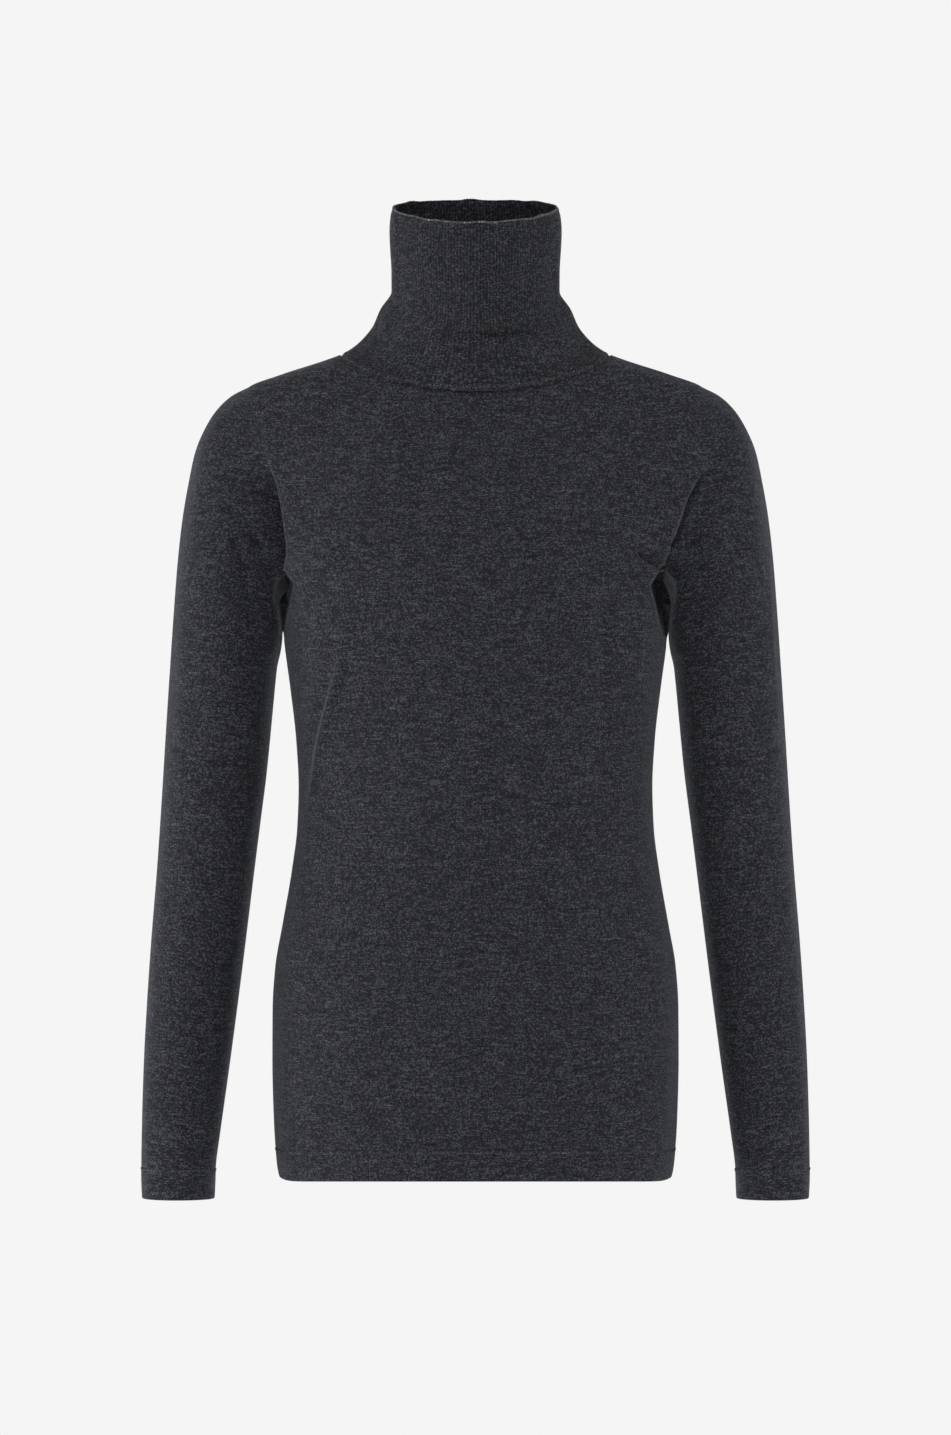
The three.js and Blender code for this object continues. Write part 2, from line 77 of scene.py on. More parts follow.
# Columns: z, half the width, reach to the front, reach to the back, squareness
BODY_SECTIONS = (
    (-640, 150, 94, 97, 2.3),
    (-628, 152.6, 95, 98, 2.3),
    (-590, 155.5, 96.5, 99.5, 2.3),
    (-545, 156.6, 97, 100, 2.3),
    (-505, 156.4, 96.5, 99, 2.3),
    (-475, 154.5, 95.5, 97, 2.25),
    (-440, 148.6, 93.5, 92.5, 2.2),
    (-400, 141.7, 91.5, 87, 2.15),
    (-365, 137.4, 90.5, 83, 2.1),
    (-335, 136.4, 91, 81.5, 2.1),
    (-300, 138.2, 93.5, 82.5, 2.1),
    (-260, 142.7, 97, 85.5, 2.15),
    (-226, 147.2, 99.8, 88, 2.2),
    (-205, 149.3, 101, 89.5, 2.25),
    (-195, 150, 101.2, 90.2, 2.25),
    (-185, 151.6, 101, 90.9, 2.25),
    (-170, 155.4, 99.8, 91.6, 2.3),
    (-150, 161.5, 96.8, 92, 2.3),
    (-130, 168, 92, 91, 2.3),
    (-110, 174.5, 86, 88.5, 2.3),
    (-90, 180.5, 79, 84.5, 2.3),
    (-70, 185, 71.5, 79, 2.3),
    (-50, 187, 64, 72, 2.25),
    (-38, 184, 60, 67, 2.2),
    (-27, 174.5, 56.5, 62, 2.1),
    (-17.5, 150, 53.5, 58.5, 2.1),
    (-6, 114.5, 50, 54.5, 2.1),
    (-2, 104, 49, 53, 2.1),
    (8, 88, 46, 50, 2.1),
)

# Columns: z, distance of the armhole seam from the middle
ARMHOLE_LINE = (
    (-195, 150),
    (-170, 148.5),
    (-150, 149.5),
    (-130, 152),
    (-110, 155),
    (-90, 159),
    (-70, 164),
    (-50, 169),
    (-38, 172),
    (-27, 174.5),
)

# Columns: outer x and z, inner x and z, depth, middle y
SLEEVE_RINGS = (
    (174.5, -27, 150.3, -195, 47, 0),
    (188, -34, 150.6, -201, 48, 0),
    (200, -45.5, 150.9, -207, 49.5, 0),
    (209, -60, 151.2, -213, 51, 0),
    (216, -77, 151.5, -219, 52, 0),
    (221, -100, 151.6, -226, 52, 0),
    (225.5, -126, 152, -233, 51.5, -0.5),
    (229.4, -160, 152.9, -243, 50.5, -1),
    (232.5, -200, 154.3, -257, 48.5, -2),
    (235.5, -245, 157, -286, 46.5, -3),
    (238.7, -295, 160.6, -323, 44.5, -4),
    (241.7, -345, 166, -366, 43, -5.5),
    (245.2, -398, 171.8, -413, 41, -8),
    (249.3, -450, 177.6, -461, 38.5, -11),
    (252.6, -500, 183.5, -508, 36, -14.5),
    (255, -548, 189.4, -553, 33.5, -18),
    (256.3, -595, 195.5, -597, 31.5, -21),
    (256.7, -627, 199.4, -628, 30, -23),
    (256, -651, 200.3, -651, 29.5, -24.5),
)

# Columns: half the width, side y and z, front y and z, back y and z
COLLAR_RINGS = (
    (104, 0, -2, -58, -32, 50, 8),
    (97, -1, 1.5, -59.5, -25, 49.5, 14),
    (90.5, -2, 5.5, -62, -16, 48.5, 22),
    (80, -4, 17, -64, -4, 47, 33),
    (73.5, -7, 31, -64, 10, 45, 46),
    (64.5, -10, 46, -66, 24, 43, 58),
    (64.6, -12.5, 62, -68.5, 42, 41, 71),
    (65.6, -15, 78, -71, 60, 38.5, 86),
    (66.2, -17, 92, -73, 77, 36.5, 101),
    (65.4, -19, 103, -74, 88, 35, 112),
    (63.5, -20, 109.5, -74, 95, 34, 118.8),
)


class Side(Enum):
    """Front or back of the garment, as the sign of Y."""

    FRONT = -1
    BACK = 1

    @property
    def word(self) -> str:
        """Name of the side in the names of pieces."""
        return self.name.lower()


class Held(Enum):
    """How a piece of cloth is held."""

    DRAPED = "draped"
    FOLDED = "folded"


def smooth_step(value: Array) -> Array:
    """Rise smoothly from 0 to 1 as the value goes from 0 to 1."""
    share = np.clip(value, 0.0, 1.0)
    return share * share * (3 - 2 * share)


def bell(distance: Array, width: float) -> Array:
    """Fall smoothly from 1 at no distance to almost 0 at twice the width."""
    return np.exp(-((distance / width) ** 2))


def unit(vectors: Array) -> Array:
    """Vectors brought to length 1 along the last axis."""
    length = np.linalg.norm(vectors, axis=-1, keepdims=True)
    return vectors / np.maximum(length, 1e-12)


def smooth_noise(seed: int, place: Array, counts: tuple[int, ...]) -> Array:
    """Make a smooth periodic ripple.

    Args:
        seed: seed of the phases.
        place: angle in radians.
        counts: numbers of waves in one round.

    Returns:
        Ripple of about unit height at each angle.
    """
    dice = np.random.default_rng(seed)
    total = np.zeros_like(place)
    for count in counts:
        phase = dice.uniform(0, 2 * math.pi)
        total += dice.uniform(0.5, 1.0) * np.sin(count * place + phase)
    return total / math.sqrt(len(counts))


class TableCurve:
    """Smooth curve through the rows of a table that never swings past them."""

    def __init__(self, places: Array, values: Array) -> None:
        """Fit the curve.

        Args:
            places: rising places of the rows.
            values: value in each row.
        """
        self.places = np.asarray(places, float)
        self.values = np.asarray(values, float)
        steps = np.diff(self.places)
        slopes = np.diff(self.values) / steps
        tangents = np.zeros(len(self.places))
        tangents[0] = slopes[0]
        tangents[-1] = slopes[-1]
        for i in range(1, len(slopes)):
            before = slopes[i - 1]
            after = slopes[i]
            if before * after > 0:
                both = steps[i - 1] + steps[i]
                first = steps[i] + both
                second = steps[i - 1] + both
                tangents[i] = (first + second) / (first / before + second / after)
        self.tangents = tangents

    def __call__(self, place: Array) -> Array:
        """Value of the curve at each place, carried on straight outside the table."""
        place = np.asarray(place, float)
        inside = np.clip(place, self.places[0], self.places[-1])
        i = np.clip(np.searchsorted(self.places, inside) - 1, 0, len(self.places) - 2)
        step = self.places[i + 1] - self.places[i]
        s = (inside - self.places[i]) / step
        start = (1 + 2 * s) * (1 - s) ** 2 * self.values[i]
        start += s * (1 - s) ** 2 * step * self.tangents[i]
        end = (3 - 2 * s) * s**2 * self.values[i + 1]
        end -= (1 - s) * s**2 * step * self.tangents[i + 1]
        slope = np.where(place < self.places[0], self.tangents[0], self.tangents[-1])
        return start + end + slope * (place - inside)


def level_curves(table: Table) -> list[TableCurve]:
    """Curves through the other columns of a table on its first column."""
    places, *columns = np.asarray(table, float).T
    return [TableCurve(places, column) for column in columns]


def ring_curves(table: Table) -> list[TableCurve]:
    """Curves through the columns of a table on the number of the row."""
    columns = np.asarray(table, float).T
    return [TableCurve(np.arange(len(table)), column) for column in columns]


def running_length(points: Array, axis: int = 0) -> Array:
    """Measure along lines of points.

    Args:
        points: points in lines, with their coordinates last.
        axis: axis that the lines run along.

    Returns:
        Length up to each point, 0 at the first.
    """
    steps = np.linalg.norm(np.diff(points, axis=axis), axis=-1)
    start = np.zeros_like(steps.take([0], axis=axis))
    return np.concatenate([start, np.cumsum(steps, axis=axis)], axis=axis)


def crowded_places(rows: int, even: float, crowded: float, power: float) -> Array:
    """Places of rows from 0 to 1, closer together near 0."""
    share = np.linspace(0, 1, rows + 1)
    return even * share + crowded * share**power


def sample(at: Array, places: Array, values: Array) -> Array:
    """Vectors at some places along a list of vectors."""
    return np.stack([np.interp(at, places, values[:, i]) for i in range(3)], axis=-1)


def join_edges(place: Array, lines: list[Array], in_front: Array, meeting: Array) -> Array:
    """Follow the edge of the front and that of the back round an opening.

    Args:
        place: places along both edges, from 0 to 1.
        lines: vectors along the front's edge and along the back's.
        in_front: whether a place is on the front.
        meeting: whether the two edges meet there, so that their mean counts.

    Returns:
        Vector at each place.
    """
    front, back = (sample(place, np.linspace(0, 1, len(line)), line) for line in lines)
    edge = np.where(in_front[..., None], front, back)
    return np.where(meeting[..., None], (front + back) / 2, edge)


@dataclass(frozen=True)
class Crease:
    """Soft ridge or trough along a line that is seen from the front.

    The line is in millimetres, as x and z. A height below 0 makes a trough. Taper 1 lets
    it die away towards both ends, and lean makes its two flanks uneven.
    """

    line: tuple[tuple[float, float], ...]
    width: float
    height: float
    taper: float = 1.0
    lean: float = 0.0

    def lift(self, x: Array, z: Array) -> Array:
        """Work out the lift of the cloth.

        Args:
            x: distances from the middle.
            z: levels.

        Returns:
            Lift in millimetres at each place.
        """
        points = np.asarray(self.line, float)
        lengths = np.linalg.norm(np.diff(points, axis=0), axis=1)
        starts = np.concatenate([[0.0], np.cumsum(lengths)])
        best = np.full(np.shape(x), np.inf)
        where = np.zeros(np.shape(x))
        turned = np.zeros(np.shape(x))
        for i, length in enumerate(lengths):
            run = points[i + 1] - points[i]
            share = ((x - points[i, 0]) * run[0] + (z - points[i, 1]) * run[1]) / length**2
            share = np.clip(share, 0, 1)
            off_x = x - points[i, 0] - share * run[0]
            off_z = z - points[i, 1] - share * run[1]
            away = np.hypot(off_x, off_z)
            nearer = away < best
            best = np.where(nearer, away, best)
            where = np.where(nearer, (starts[i] + share * length) / starts[-1], where)
            cross = run[0] * off_z - run[1] * off_x
            turned = np.where(nearer, np.tanh(cross / length / self.width), turned)
        width = self.width * (1 + self.lean * turned)
        envelope = 1 - self.taper * (2 * where - 1) ** 2
        return self.height * envelope * bell(best, width)


def all_lifts(creases: tuple[Crease, ...], x: Array, z: Array) -> Array:
    """Sum of the lifts of several creases at places seen from the front."""
    total = np.zeros(np.shape(x))
    for crease in creases:
        total = total + crease.lift(x, z)
    return total


def fold(x0: float, z0: float, x1: float, z1: float, width: float, height: float) -> Crease:
    """Large fold that the solids have too, of one depth from end to end."""
    return Crease(((x0, z0), (x1, z1)), width, height, taper=0.0)


LARGE_FOLDS: Creases = {
    "front": (
        fold(-106, -212, -123, -304, 14, 2.6),
        fold(100, -185, 98, -315, 16, -2.2),
        fold(52, -150, 128, -134, 20, -2.4),
    ),
    "back": (
        fold(-70, -165, -84, -330, 20, -2.4),
        fold(62, -190, 78, -370, 22, -2.0),
        fold(-60, -372, 48, -384, 18, 2.2),
    ),
    "left front": (
        fold(156, -156, 184, -88, 13, -3.6),
        fold(178, -250, 222, -208, 18, -2.0),
    ),
    "left back": (
        fold(162, -160, 196, -112, 15, -3.0),
        fold(176, -352, 232, -330, 18, -2.2),
    ),
    "right front": (
        fold(-181, -130, -165, -207, 14, -2.8),
        fold(-176, -330, -226, -300, 20, -1.8),
    ),
    "right back": (
        fold(-164, -170, -198, -118, 15, -3.0),
        fold(-180, -368, -236, -340, 18, -2.2),
    ),
    "collar front": (fold(-12, 8, 62, 10, 9, -1.8),),
    "collar back": (fold(-50, 44, 30, 50, 11, -1.6),),
}

# Sharp crease from the wearer's left armpit up over the sleeve
LEFT_ARMPIT = Crease(
    ((146, -196), (147, -166), (150, -153), (154.6, -137), (163, -115), (172, -99), (187, -86)),
    2.2,
    -6.0,
)

FINE_CREASES: Creases = {
    "front": (
        Crease(((-96, -206), (-103, -246), (-112, -276), (-121, -316), (-130, -360)), 2.6, 3.0),
        Crease(((-118, -192), (-119, -204), (-121, -220)), 3.2, 1.6),
        Crease(((-105, -214), (-114, -262), (-131, -330)), 4.5, -2.4),
        Crease(((100, -180), (98, -240), (100, -318)), 4.5, -2.0),
        Crease(((106, -196), (105, -250), (108, -300)), 4.5, 1.1),
        Crease(((-156, -168), (-141, -165), (-100, -156)), 5.5, 4.0, taper=0.8),
        Crease(((-138, -190), (-122, -204), (-110, -216)), 7.0, 1.0),
        Crease(((150, -158), (140, -155), (112, -146)), 6.5, 2.6, taper=0.8),
        Crease(((126, -156), (134, -162), (145, -169)), 1.8, -10.0, taper=0.3),
        Crease(((126, -171), (136, -170), (145, -171.5)), 3.2, 2.0),
        Crease(((126, -186), (110, -198), (104, -214)), 7.0, 0.9),
        Crease(((96, -5.5), (130, -13.5), (168, -27)), 1.5, -0.8),
        LEFT_ARMPIT,
        Crease(((-60, -330), (-10, -338), (44, -334)), 9.0, -0.5),
        Crease(((-118, -352), (-84, -346), (-40, -350)), 7.0, -0.6),
        Crease(((60, -356), (92, -350), (124, -358)), 7.0, -0.6),
        Crease(((-96, -430), (-88, -500), (-92, -580)), 12.0, 0.8),
        Crease(((84, -420), (92, -500), (88, -590)), 13.0, -0.8),
    ),
    "back": (
        Crease(((-150, -166), (-128, -160), (-92, -152)), 7.0, 1.8, lean=0.3),
        Crease(((-154, -182), (-138, -182), (-112, -190)), 6.0, -4.0),
        Crease(((150, -170), (130, -160), (96, -154)), 7.0, 1.6),
        Crease(((154, -186), (138, -184), (114, -192)), 6.0, -3.6),
        Crease(((-66, -176), (-74, -240), (-90, -318)), 6.0, -0.8),
        Crease(((66, -200), (70, -280), (84, -360)), 7.0, -0.8),
        Crease(((-92, -350), (-30, -362), (52, -356), (98, -346)), 8.0, -1.0),
        Crease(((-84, -396), (-20, -402), (60, -394)), 9.0, -0.8),
        Crease(((-30, -318), (16, -326), (70, -320)), 8.0, 0.7),
        Crease(((-40, -14), (0, -22), (44, -15)), 7.0, -0.7),
    ),
    "left front": (
        LEFT_ARMPIT,
        Crease(((160, -146), (167, -122), (180, -102)), 5.0, 0.9),
        Crease(((224.5, -128), (227, -190), (231, -262), (233, -300)), 1.8, 0.7),
        Crease(((230, -132), (232, -200), (236, -268)), 4.0, -0.9),
        Crease(((176, -262), (196, -244), (220, -236)), 7.0, -0.9),
        Crease(((176, -352), (200, -340), (232, -334)), 7.0, -0.8),
        Crease(((180, -396), (204, -390), (236, -396)), 8.0, -0.6),
        Crease(((200, -520), (222, -512), (246, -516)), 9.0, -0.5),
    ),
    "left back": (
        Crease(((154, -160), (166, -136), (190, -116)), 5.0, -1.8),
        Crease(((170, -186), (186, -168), (210, -158)), 7.0, -1.2),
        Crease(((172, -340), (200, -322), (234, -318)), 6.0, -1.2),
        Crease(((176, -376), (206, -366), (240, -372)), 7.0, -1.0),
        Crease(((186, -456), (212, -450), (242, -456)), 8.0, -0.6),
    ),
    "right front": (
        Crease(((-186, -142), (-181, -166), (-173, -192)), 3.4, -4.4),
        Crease(((-175, -130), (-165, -160), (-153, -196)), 3.8, -5.6),
        Crease(((-180, -90), (-170, -100), (-160, -116)), 7.0, -1.6),
        Crease(((-178, -158), (-170, -178), (-160, -204)), 4.5, 1.1),
        Crease(((-196, -150), (-192, -176), (-182, -204)), 7.0, -0.9),
        Crease(((-178, -342), (-200, -330), (-222, -326)), 6.0, -0.9),
        Crease(((-182, -392), (-206, -384), (-238, -392)), 8.0, -0.6),
        Crease(((-236, -210), (-234, -262), (-238, -320)), 6.0, -0.7),
    ),
    "right back": (
        Crease(((-156, -166), (-170, -140), (-194, -120)), 5.0, -1.8),
        Crease(((-172, -196), (-188, -176), (-214, -166)), 7.0, -1.2),
        Crease(((-176, -352), (-204, -336), (-236, -330)), 6.0, -1.2),
        Crease(((-180, -392), (-208, -384), (-242, -388)), 7.0, -0.9),
    ),
    "collar front": (
        Crease(((-14, 13.5), (20, 12), (68, 16)), 3.0, -3.2),
        Crease(((-4, 6.5), (30, 4.5), (64, 7)), 4.2, 1.9),
        Crease(((22, 51.5), (40, 50.5), (56, 54)), 3.0, -0.6),
        Crease(((-86, 10), (-72, 18), (-54, 31)), 2.4, 3.4),
        Crease(((-84, 3), (-70, 11), (-50, 22)), 3.6, -2.8),
        Crease(((88, 2), (78, 14), (66, 24)), 4.0, 0.9),
        Crease(((-60, 44), (-40, 40), (-16, 42)), 5.0, -0.5),
    ),
    "collar back": (
        Crease(((-56, 47), (-10, 50), (40, 54)), 4.0, -0.8),
        Crease(((-40, 34), (6, 36), (52, 40)), 5.0, 0.7),
        Crease(((-64, 24), (-52, 36), (-46, 50)), 4.5, -0.8),
    ),
}


@dataclass(frozen=True)
class Cut:
    """Levels of the cut, in millimetres."""

    hem_level: float = -640
    band_depth: float = 23
    front_hem_rise: float = 5.8
    back_hem_rise: float = 2
    corner_rise: float = 3.5
    corner_power: float = 30
    underarm_level: float = -195
    tip_level: float = -27
    neck_point_level: float = -2
    neck_half_width: float = 104
    front_neck_drop: float = 30
    back_neck_rise: float = 10
    front_neck_power: float = 1.15
    back_neck_power: float = 2
    neck_share: float = 2 / 3
    side_fade_power: float = 12
    seam_gap: float = 0.02


@dataclass
class BodyForm:
    """Surface of the body, as rounded oblong level sections."""

    cut: Cut = field(default_factory=Cut)
    curves: list[TableCurve] = field(default_factory=lambda: level_curves(BODY_SECTIONS))
    armhole: TableCurve = field(default_factory=lambda: level_curves(ARMHOLE_LINE)[0])
    cloth_steps: int = 48
    cloth_levels: Array = field(default_factory=lambda: np.linspace(-660, 20, 341))

    def half_width(self, z: Array) -> Array:
        """Half the width at a level."""
        return self.curves[0](z)

    def reach(self, side: Side, z: Array) -> Array:
        """Reach to the front or the back at a level."""
        return self.curves[1 if side is Side.FRONT else 2](z)

    def square(self, z: Array) -> Array:
        """How square the corners of the section are, where 2 is an ellipse."""
        return self.curves[3](z)

    def normal(self, side: Side, x: Array, y: Array, z: Array) -> Array:
        """Find the outward direction at points of the surface.

        Args:
            side: front or back.
            x: distances from the middle.
            y: depths.
            z: levels.

        Returns:
            Unit vectors.
        """
        step = 0.5

        def value(level: Array) -> Array:
            """Section value at the same x and y and another level."""
            power = self.square(level)
            wide = np.abs(x) / self.half_width(level)
            deep = np.abs(y) / self.reach(side, level)
            return wide**power + deep**power

        power = self.square(z)
        across = np.sign(x) * (np.abs(x) / self.half_width(z)) ** (power - 1)
        through = side.value * (np.abs(y) / self.reach(side, z)) ** (power - 1)
        rise = (value(z + step) - value(z - step)) / (2 * step)
        gradient = np.stack(
            [power * across / self.half_width(z), power * through / self.reach(side, z), rise],
            axis=-1,
        )
        return unit(gradient)

    def point(self, side: Side, turn: Array, z: Array, fine: bool) -> Array:
        """Find points of a panel.

        Args:
            side: front or back.
            turn: turn round the level section, 0 in the middle.
            z: levels.
            fine: whether the fine creases are laid in too.

        Returns:
            Points in millimetres.
        """
        power = 2 / self.square(z)
        x = np.sign(turn) * self.half_width(z) * np.abs(np.sin(turn)) ** power
        y = side.value * self.reach(side, z) * np.abs(np.cos(turn)) ** power
        fade = 1 - np.abs(np.sin(turn)) ** self.cut.side_fade_power
        lift = fade * all_lifts(LARGE_FOLDS[side.word], x, z)
        if fine:
            lift = lift + fade**0.5 * all_lifts(FINE_CREASES[side.word], x, z)
        points = np.stack([x, y, z + 0 * x], axis=-1)
        points = points + self.normal(side, x, y, z) * lift[..., None]
        points[..., 1] += side.value * self.cut.seam_gap / 2
        return points

    def turn_at(self, x: Array, z: Array) -> Array:
        """Turn at which a distance from the middle lies on the level section."""
        share = np.minimum(1, np.abs(x) / self.half_width(z))
        return np.sign(x) * np.arcsin(share ** (self.square(z) / 2))

    def cloth_place(self, side: Side, turn: Array, z: Array) -> Array:
        """Lay a panel out flat with its courses level, as it was knitted.

        Args:
            side: front or back.
            turn: turn round the level section, 0 in the middle.
            z: levels.

        Returns:
            Places in metres, u round the body and v up its middle.
        """
        steps = np.linspace(0, 1, self.cloth_steps + 1)[:, None, None] * turn
        power = 2 / self.square(z)
        x = self.half_width(z) * np.abs(np.sin(steps)) ** power
        y = self.reach(side, z) * np.abs(np.cos(steps)) ** power
        u = np.hypot(np.diff(x, axis=0), np.diff(y, axis=0)).sum(axis=0)
        levels = self.cloth_levels
        rises = np.hypot(np.diff(levels), np.diff(self.reach(side, levels)))
        v = np.interp(z, levels, np.concatenate([[0.0], np.cumsum(rises)]))
        return np.stack(np.broadcast_arrays(np.sign(turn) * u, v), axis=-1) * MM

    def hem_at(self, side: Side, turn: Array) -> Array:
        """Level of the lower edge at a turn round the hem."""
        cut = self.cut
        power = 2 / self.square(cut.hem_level)
        rise = cut.front_hem_rise if side is Side.FRONT else cut.back_hem_rise
        middle = rise * np.abs(np.cos(turn)) ** power
        corner = cut.corner_rise * np.abs(np.sin(turn)) ** cut.corner_power
        return cut.hem_level + middle + corner

    def armhole_place(self, sign: int, up: Array) -> Array:
        """Place on the armhole seam as x and z, from the underarm at 0 to the tip at 1."""
        cut = self.cut
        share = (1 - np.cos(math.pi * up)) / 2
        z = cut.underarm_level + (cut.tip_level - cut.underarm_level) * share
        return np.stack([sign * self.armhole(z), z], axis=-1)

    def neckline_place(self, side: Side, angle: Array) -> Array:
        """Place on the neckline as x and z, at an angle from the middle of the panel."""
        cut = self.cut
        if side is Side.FRONT:
            rise = -cut.front_neck_drop * np.abs(np.cos(angle)) ** cut.front_neck_power
        else:
            rise = cut.back_neck_rise * np.abs(np.cos(angle)) ** cut.back_neck_power
        x = cut.neck_half_width * np.sin(angle)
        return np.stack([x, cut.neck_point_level + rise], axis=-1)

    def upper_place(self, side: Side, across: Array) -> Array:
        """Place on the upper edge: the neckline, and the shoulder seams beside it."""
        cut = self.cut
        inner = np.clip(across / cut.neck_share, -1, 1)
        neck = self.neckline_place(side, inner * QUARTER)
        out = np.clip((np.abs(across) - cut.neck_share) / (1 - cut.neck_share), 0, 1)
        z = cut.neck_point_level + (cut.tip_level - cut.neck_point_level) * out
        ridge = np.stack([np.sign(across) * self.half_width(z), z], axis=-1)
        return np.where((np.abs(across) <= cut.neck_share)[..., None], neck, ridge)

    def underarm_place(self, across: Array) -> Array:
        """Place on the level of the underarm."""
        level = self.cut.underarm_level
        share = np.abs(np.sin(across * QUARTER)) ** (2 / self.square(level))
        x = np.sign(across) * self.half_width(level) * share
        return np.stack([x, np.full_like(x, level)], axis=-1)

    def yoke_place(self, side: Side, across: Array, up: Array) -> Array:
        """Blend places between the armholes from the four edges of that part.

        Args:
            side: front or back.
            across: -1 to 1 from armhole to armhole.
            up: 0 to 1 from the underarm to the upper edge.

        Returns:
            Places as x and z.
        """
        right = ((across + 1) / 2)[..., None]
        left = 1 - right
        high = up[..., None]
        down = 1 - high
        underarm = self.underarm_place(np.ones(1))[0]
        tip = self.armhole_place(1, np.ones(1))[0]
        corner = down * underarm + high * tip
        corner = corner * np.concatenate([right - left, np.ones_like(right)], axis=-1)
        edges = left * self.armhole_place(-1, up) + right * self.armhole_place(1, up)
        levels = down * self.underarm_place(across) + high * self.upper_place(side, across)
        return levels + edges - corner


@dataclass
class SleeveForm:
    """Surface of a sleeve, as rings that stand on straight lines."""

    sign: int
    body: BodyForm
    fade_rings: float = 5
    fold_rings: float = 2
    crease_rings: float = 0.5
    curves: list[TableCurve] = field(default_factory=lambda: ring_curves(SLEEVE_RINGS))

    @property
    def word(self) -> str:
        """Wearer's side of the sleeve."""
        return "left" if self.sign > 0 else "right"

    def ring(self, angle: Array, along: Array) -> Array:
        """Point of a ring on the left side before it is fitted to the armhole."""
        outer_x, outer_z, inner_x, inner_z, depth, middle = (c(along) for c in self.curves)
        share = (1 - np.cos(angle)) / 2
        x = outer_x + share * (inner_x - outer_x)
        z = outer_z + share * (inner_z - outer_z)
        y = middle - depth * np.sin(angle)
        return np.stack([x, y, z], axis=-1)

    def armhole(self, angle: Array) -> Array:
        """Point of the plain armhole seam at an angle round the sleeve."""
        up = 1 - np.minimum(angle, 2 * math.pi - angle) / math.pi
        place = self.body.armhole_place(1, up)
        turn = self.body.turn_at(place[..., 0], place[..., 1])
        front = self.body.point(Side.FRONT, turn, place[..., 1], False)
        back = self.body.point(Side.BACK, turn, place[..., 1], False)
        point = np.where((angle <= math.pi)[..., None], front, back)
        ends = (up < 1e-9) | (up > 1 - 1e-9)
        point[..., 1] = np.where(ends, 0, point[..., 1])
        return point

    def surface(self, angle: Array, along: Array) -> Array:
        """Find points of the outer side, with the large folds and no fine ones.

        Args:
            angle: from the shoulder tip over the front, in radians.
            along: ring count from the armhole.

        Returns:
            Points in millimetres.
        """
        angle, along = np.broadcast_arrays(angle, along)
        turn = np.mod(angle, 2 * math.pi)
        point = self.ring(turn, along)
        fitted = 1 - smooth_step(along / self.fade_rings)
        fit = self.armhole(turn) - self.ring(turn, np.zeros_like(turn))
        point = point + fit * fitted[..., None]
        point[..., 0] *= self.sign
        fade = self.fade(turn, along, self.fold_rings)
        point[..., 1] -= np.sign(np.sin(turn)) * fade * self.lift(LARGE_FOLDS, turn, point)
        return point

    def fade(self, turn: Array, along: Array, rings: float) -> Array:
        """Share that is left of a fold, none at the armhole and at the two edges."""
        side = 1 - np.abs(np.cos(turn)) ** self.body.cut.side_fade_power
        return smooth_step(along / rings) * side

    def lift(self, creases: Creases, turn: Array, points: Array) -> Array:
        """Lift of the front's creases on the front half and of the back's on the other."""
        front, back = (
            all_lifts(creases[f"{self.word} {side.word}"], points[..., 0], points[..., 2])
            for side in Side
        )
        return np.where(np.sin(turn) > 0, front, back)

    def fine_lift(self, turn: Array, along: Array, points: Array) -> Array:
        """Lift of the fine creases at points of the sleeve."""
        fade = self.fade(turn, along, self.crease_rings)
        return fade * self.lift(FINE_CREASES, turn, points)


@dataclass
class CollarForm:
    """Surface of the standing collar, as rounded rings."""

    body: BodyForm
    fade_rings: float = 3
    curves: list[TableCurve] = field(default_factory=lambda: ring_curves(COLLAR_RINGS))

    def ring(self, angle: Array, along: Array) -> Array:
        """Point of a ring before it is fitted to the neckline."""
        half, side_y, side_z, front_y, front_z, back_y, back_z = (c(along) for c in self.curves)

        def round_value(front: Array, middle: Array, back: Array) -> Array:
            """Value that passes through the front, the sides and the back."""
            ends = (front + back) / 2
            swing = (front - back) / 2 * np.cos(angle)
            return (ends + middle) / 2 + swing + (ends - middle) / 2 * np.cos(2 * angle)

        x = half * np.sin(angle)
        y = round_value(front_y, side_y, back_y)
        z = round_value(front_z, side_z, back_z)
        return np.stack([x, y, z], axis=-1)

    def neckline(self, angle: Array) -> Array:
        """Point of the plain neckline at an angle from the front over +X."""
        middle = np.arcsin(np.clip(np.sin(angle), -1, 1))
        points = []
        for side in Side:
            place = self.body.neckline_place(side, middle)
            turn = self.body.turn_at(place[..., 0], place[..., 1])
            points.append(self.body.point(side, turn, place[..., 1], False))
        return np.where((np.cos(angle) > 0)[..., None], points[0], points[1])

    def surface(self, angle: Array, along: Array) -> Array:
        """Find points of the outer side, without ribs.

        Args:
            angle: from the front over +X, in radians.
            along: ring count from the seam.

        Returns:
            Points in millimetres.
        """
        angle, along = np.broadcast_arrays(angle, along)
        point = self.ring(angle, along)
        fitted = 1 - smooth_step(along / self.fade_rings)
        fit = self.neckline(angle) - self.ring(angle, np.zeros_like(angle))
        point = point + fit * fitted[..., None]
        fade = 1 - np.abs(np.sin(angle)) ** self.body.cut.side_fade_power
        fine = smooth_step(along)
        x = point[..., 0]
        z = point[..., 2]
        for side, facing in ((Side.FRONT, np.cos(angle) > 0), (Side.BACK, np.cos(angle) <= 0)):
            word = f"collar {side.word}"
            lift = all_lifts(LARGE_FOLDS[word], x, z)
            lift = lift + fine * all_lifts(FINE_CREASES[word], x, z)
            point[..., 1] += np.where(facing, side.value * fade * lift, 0)
        return point


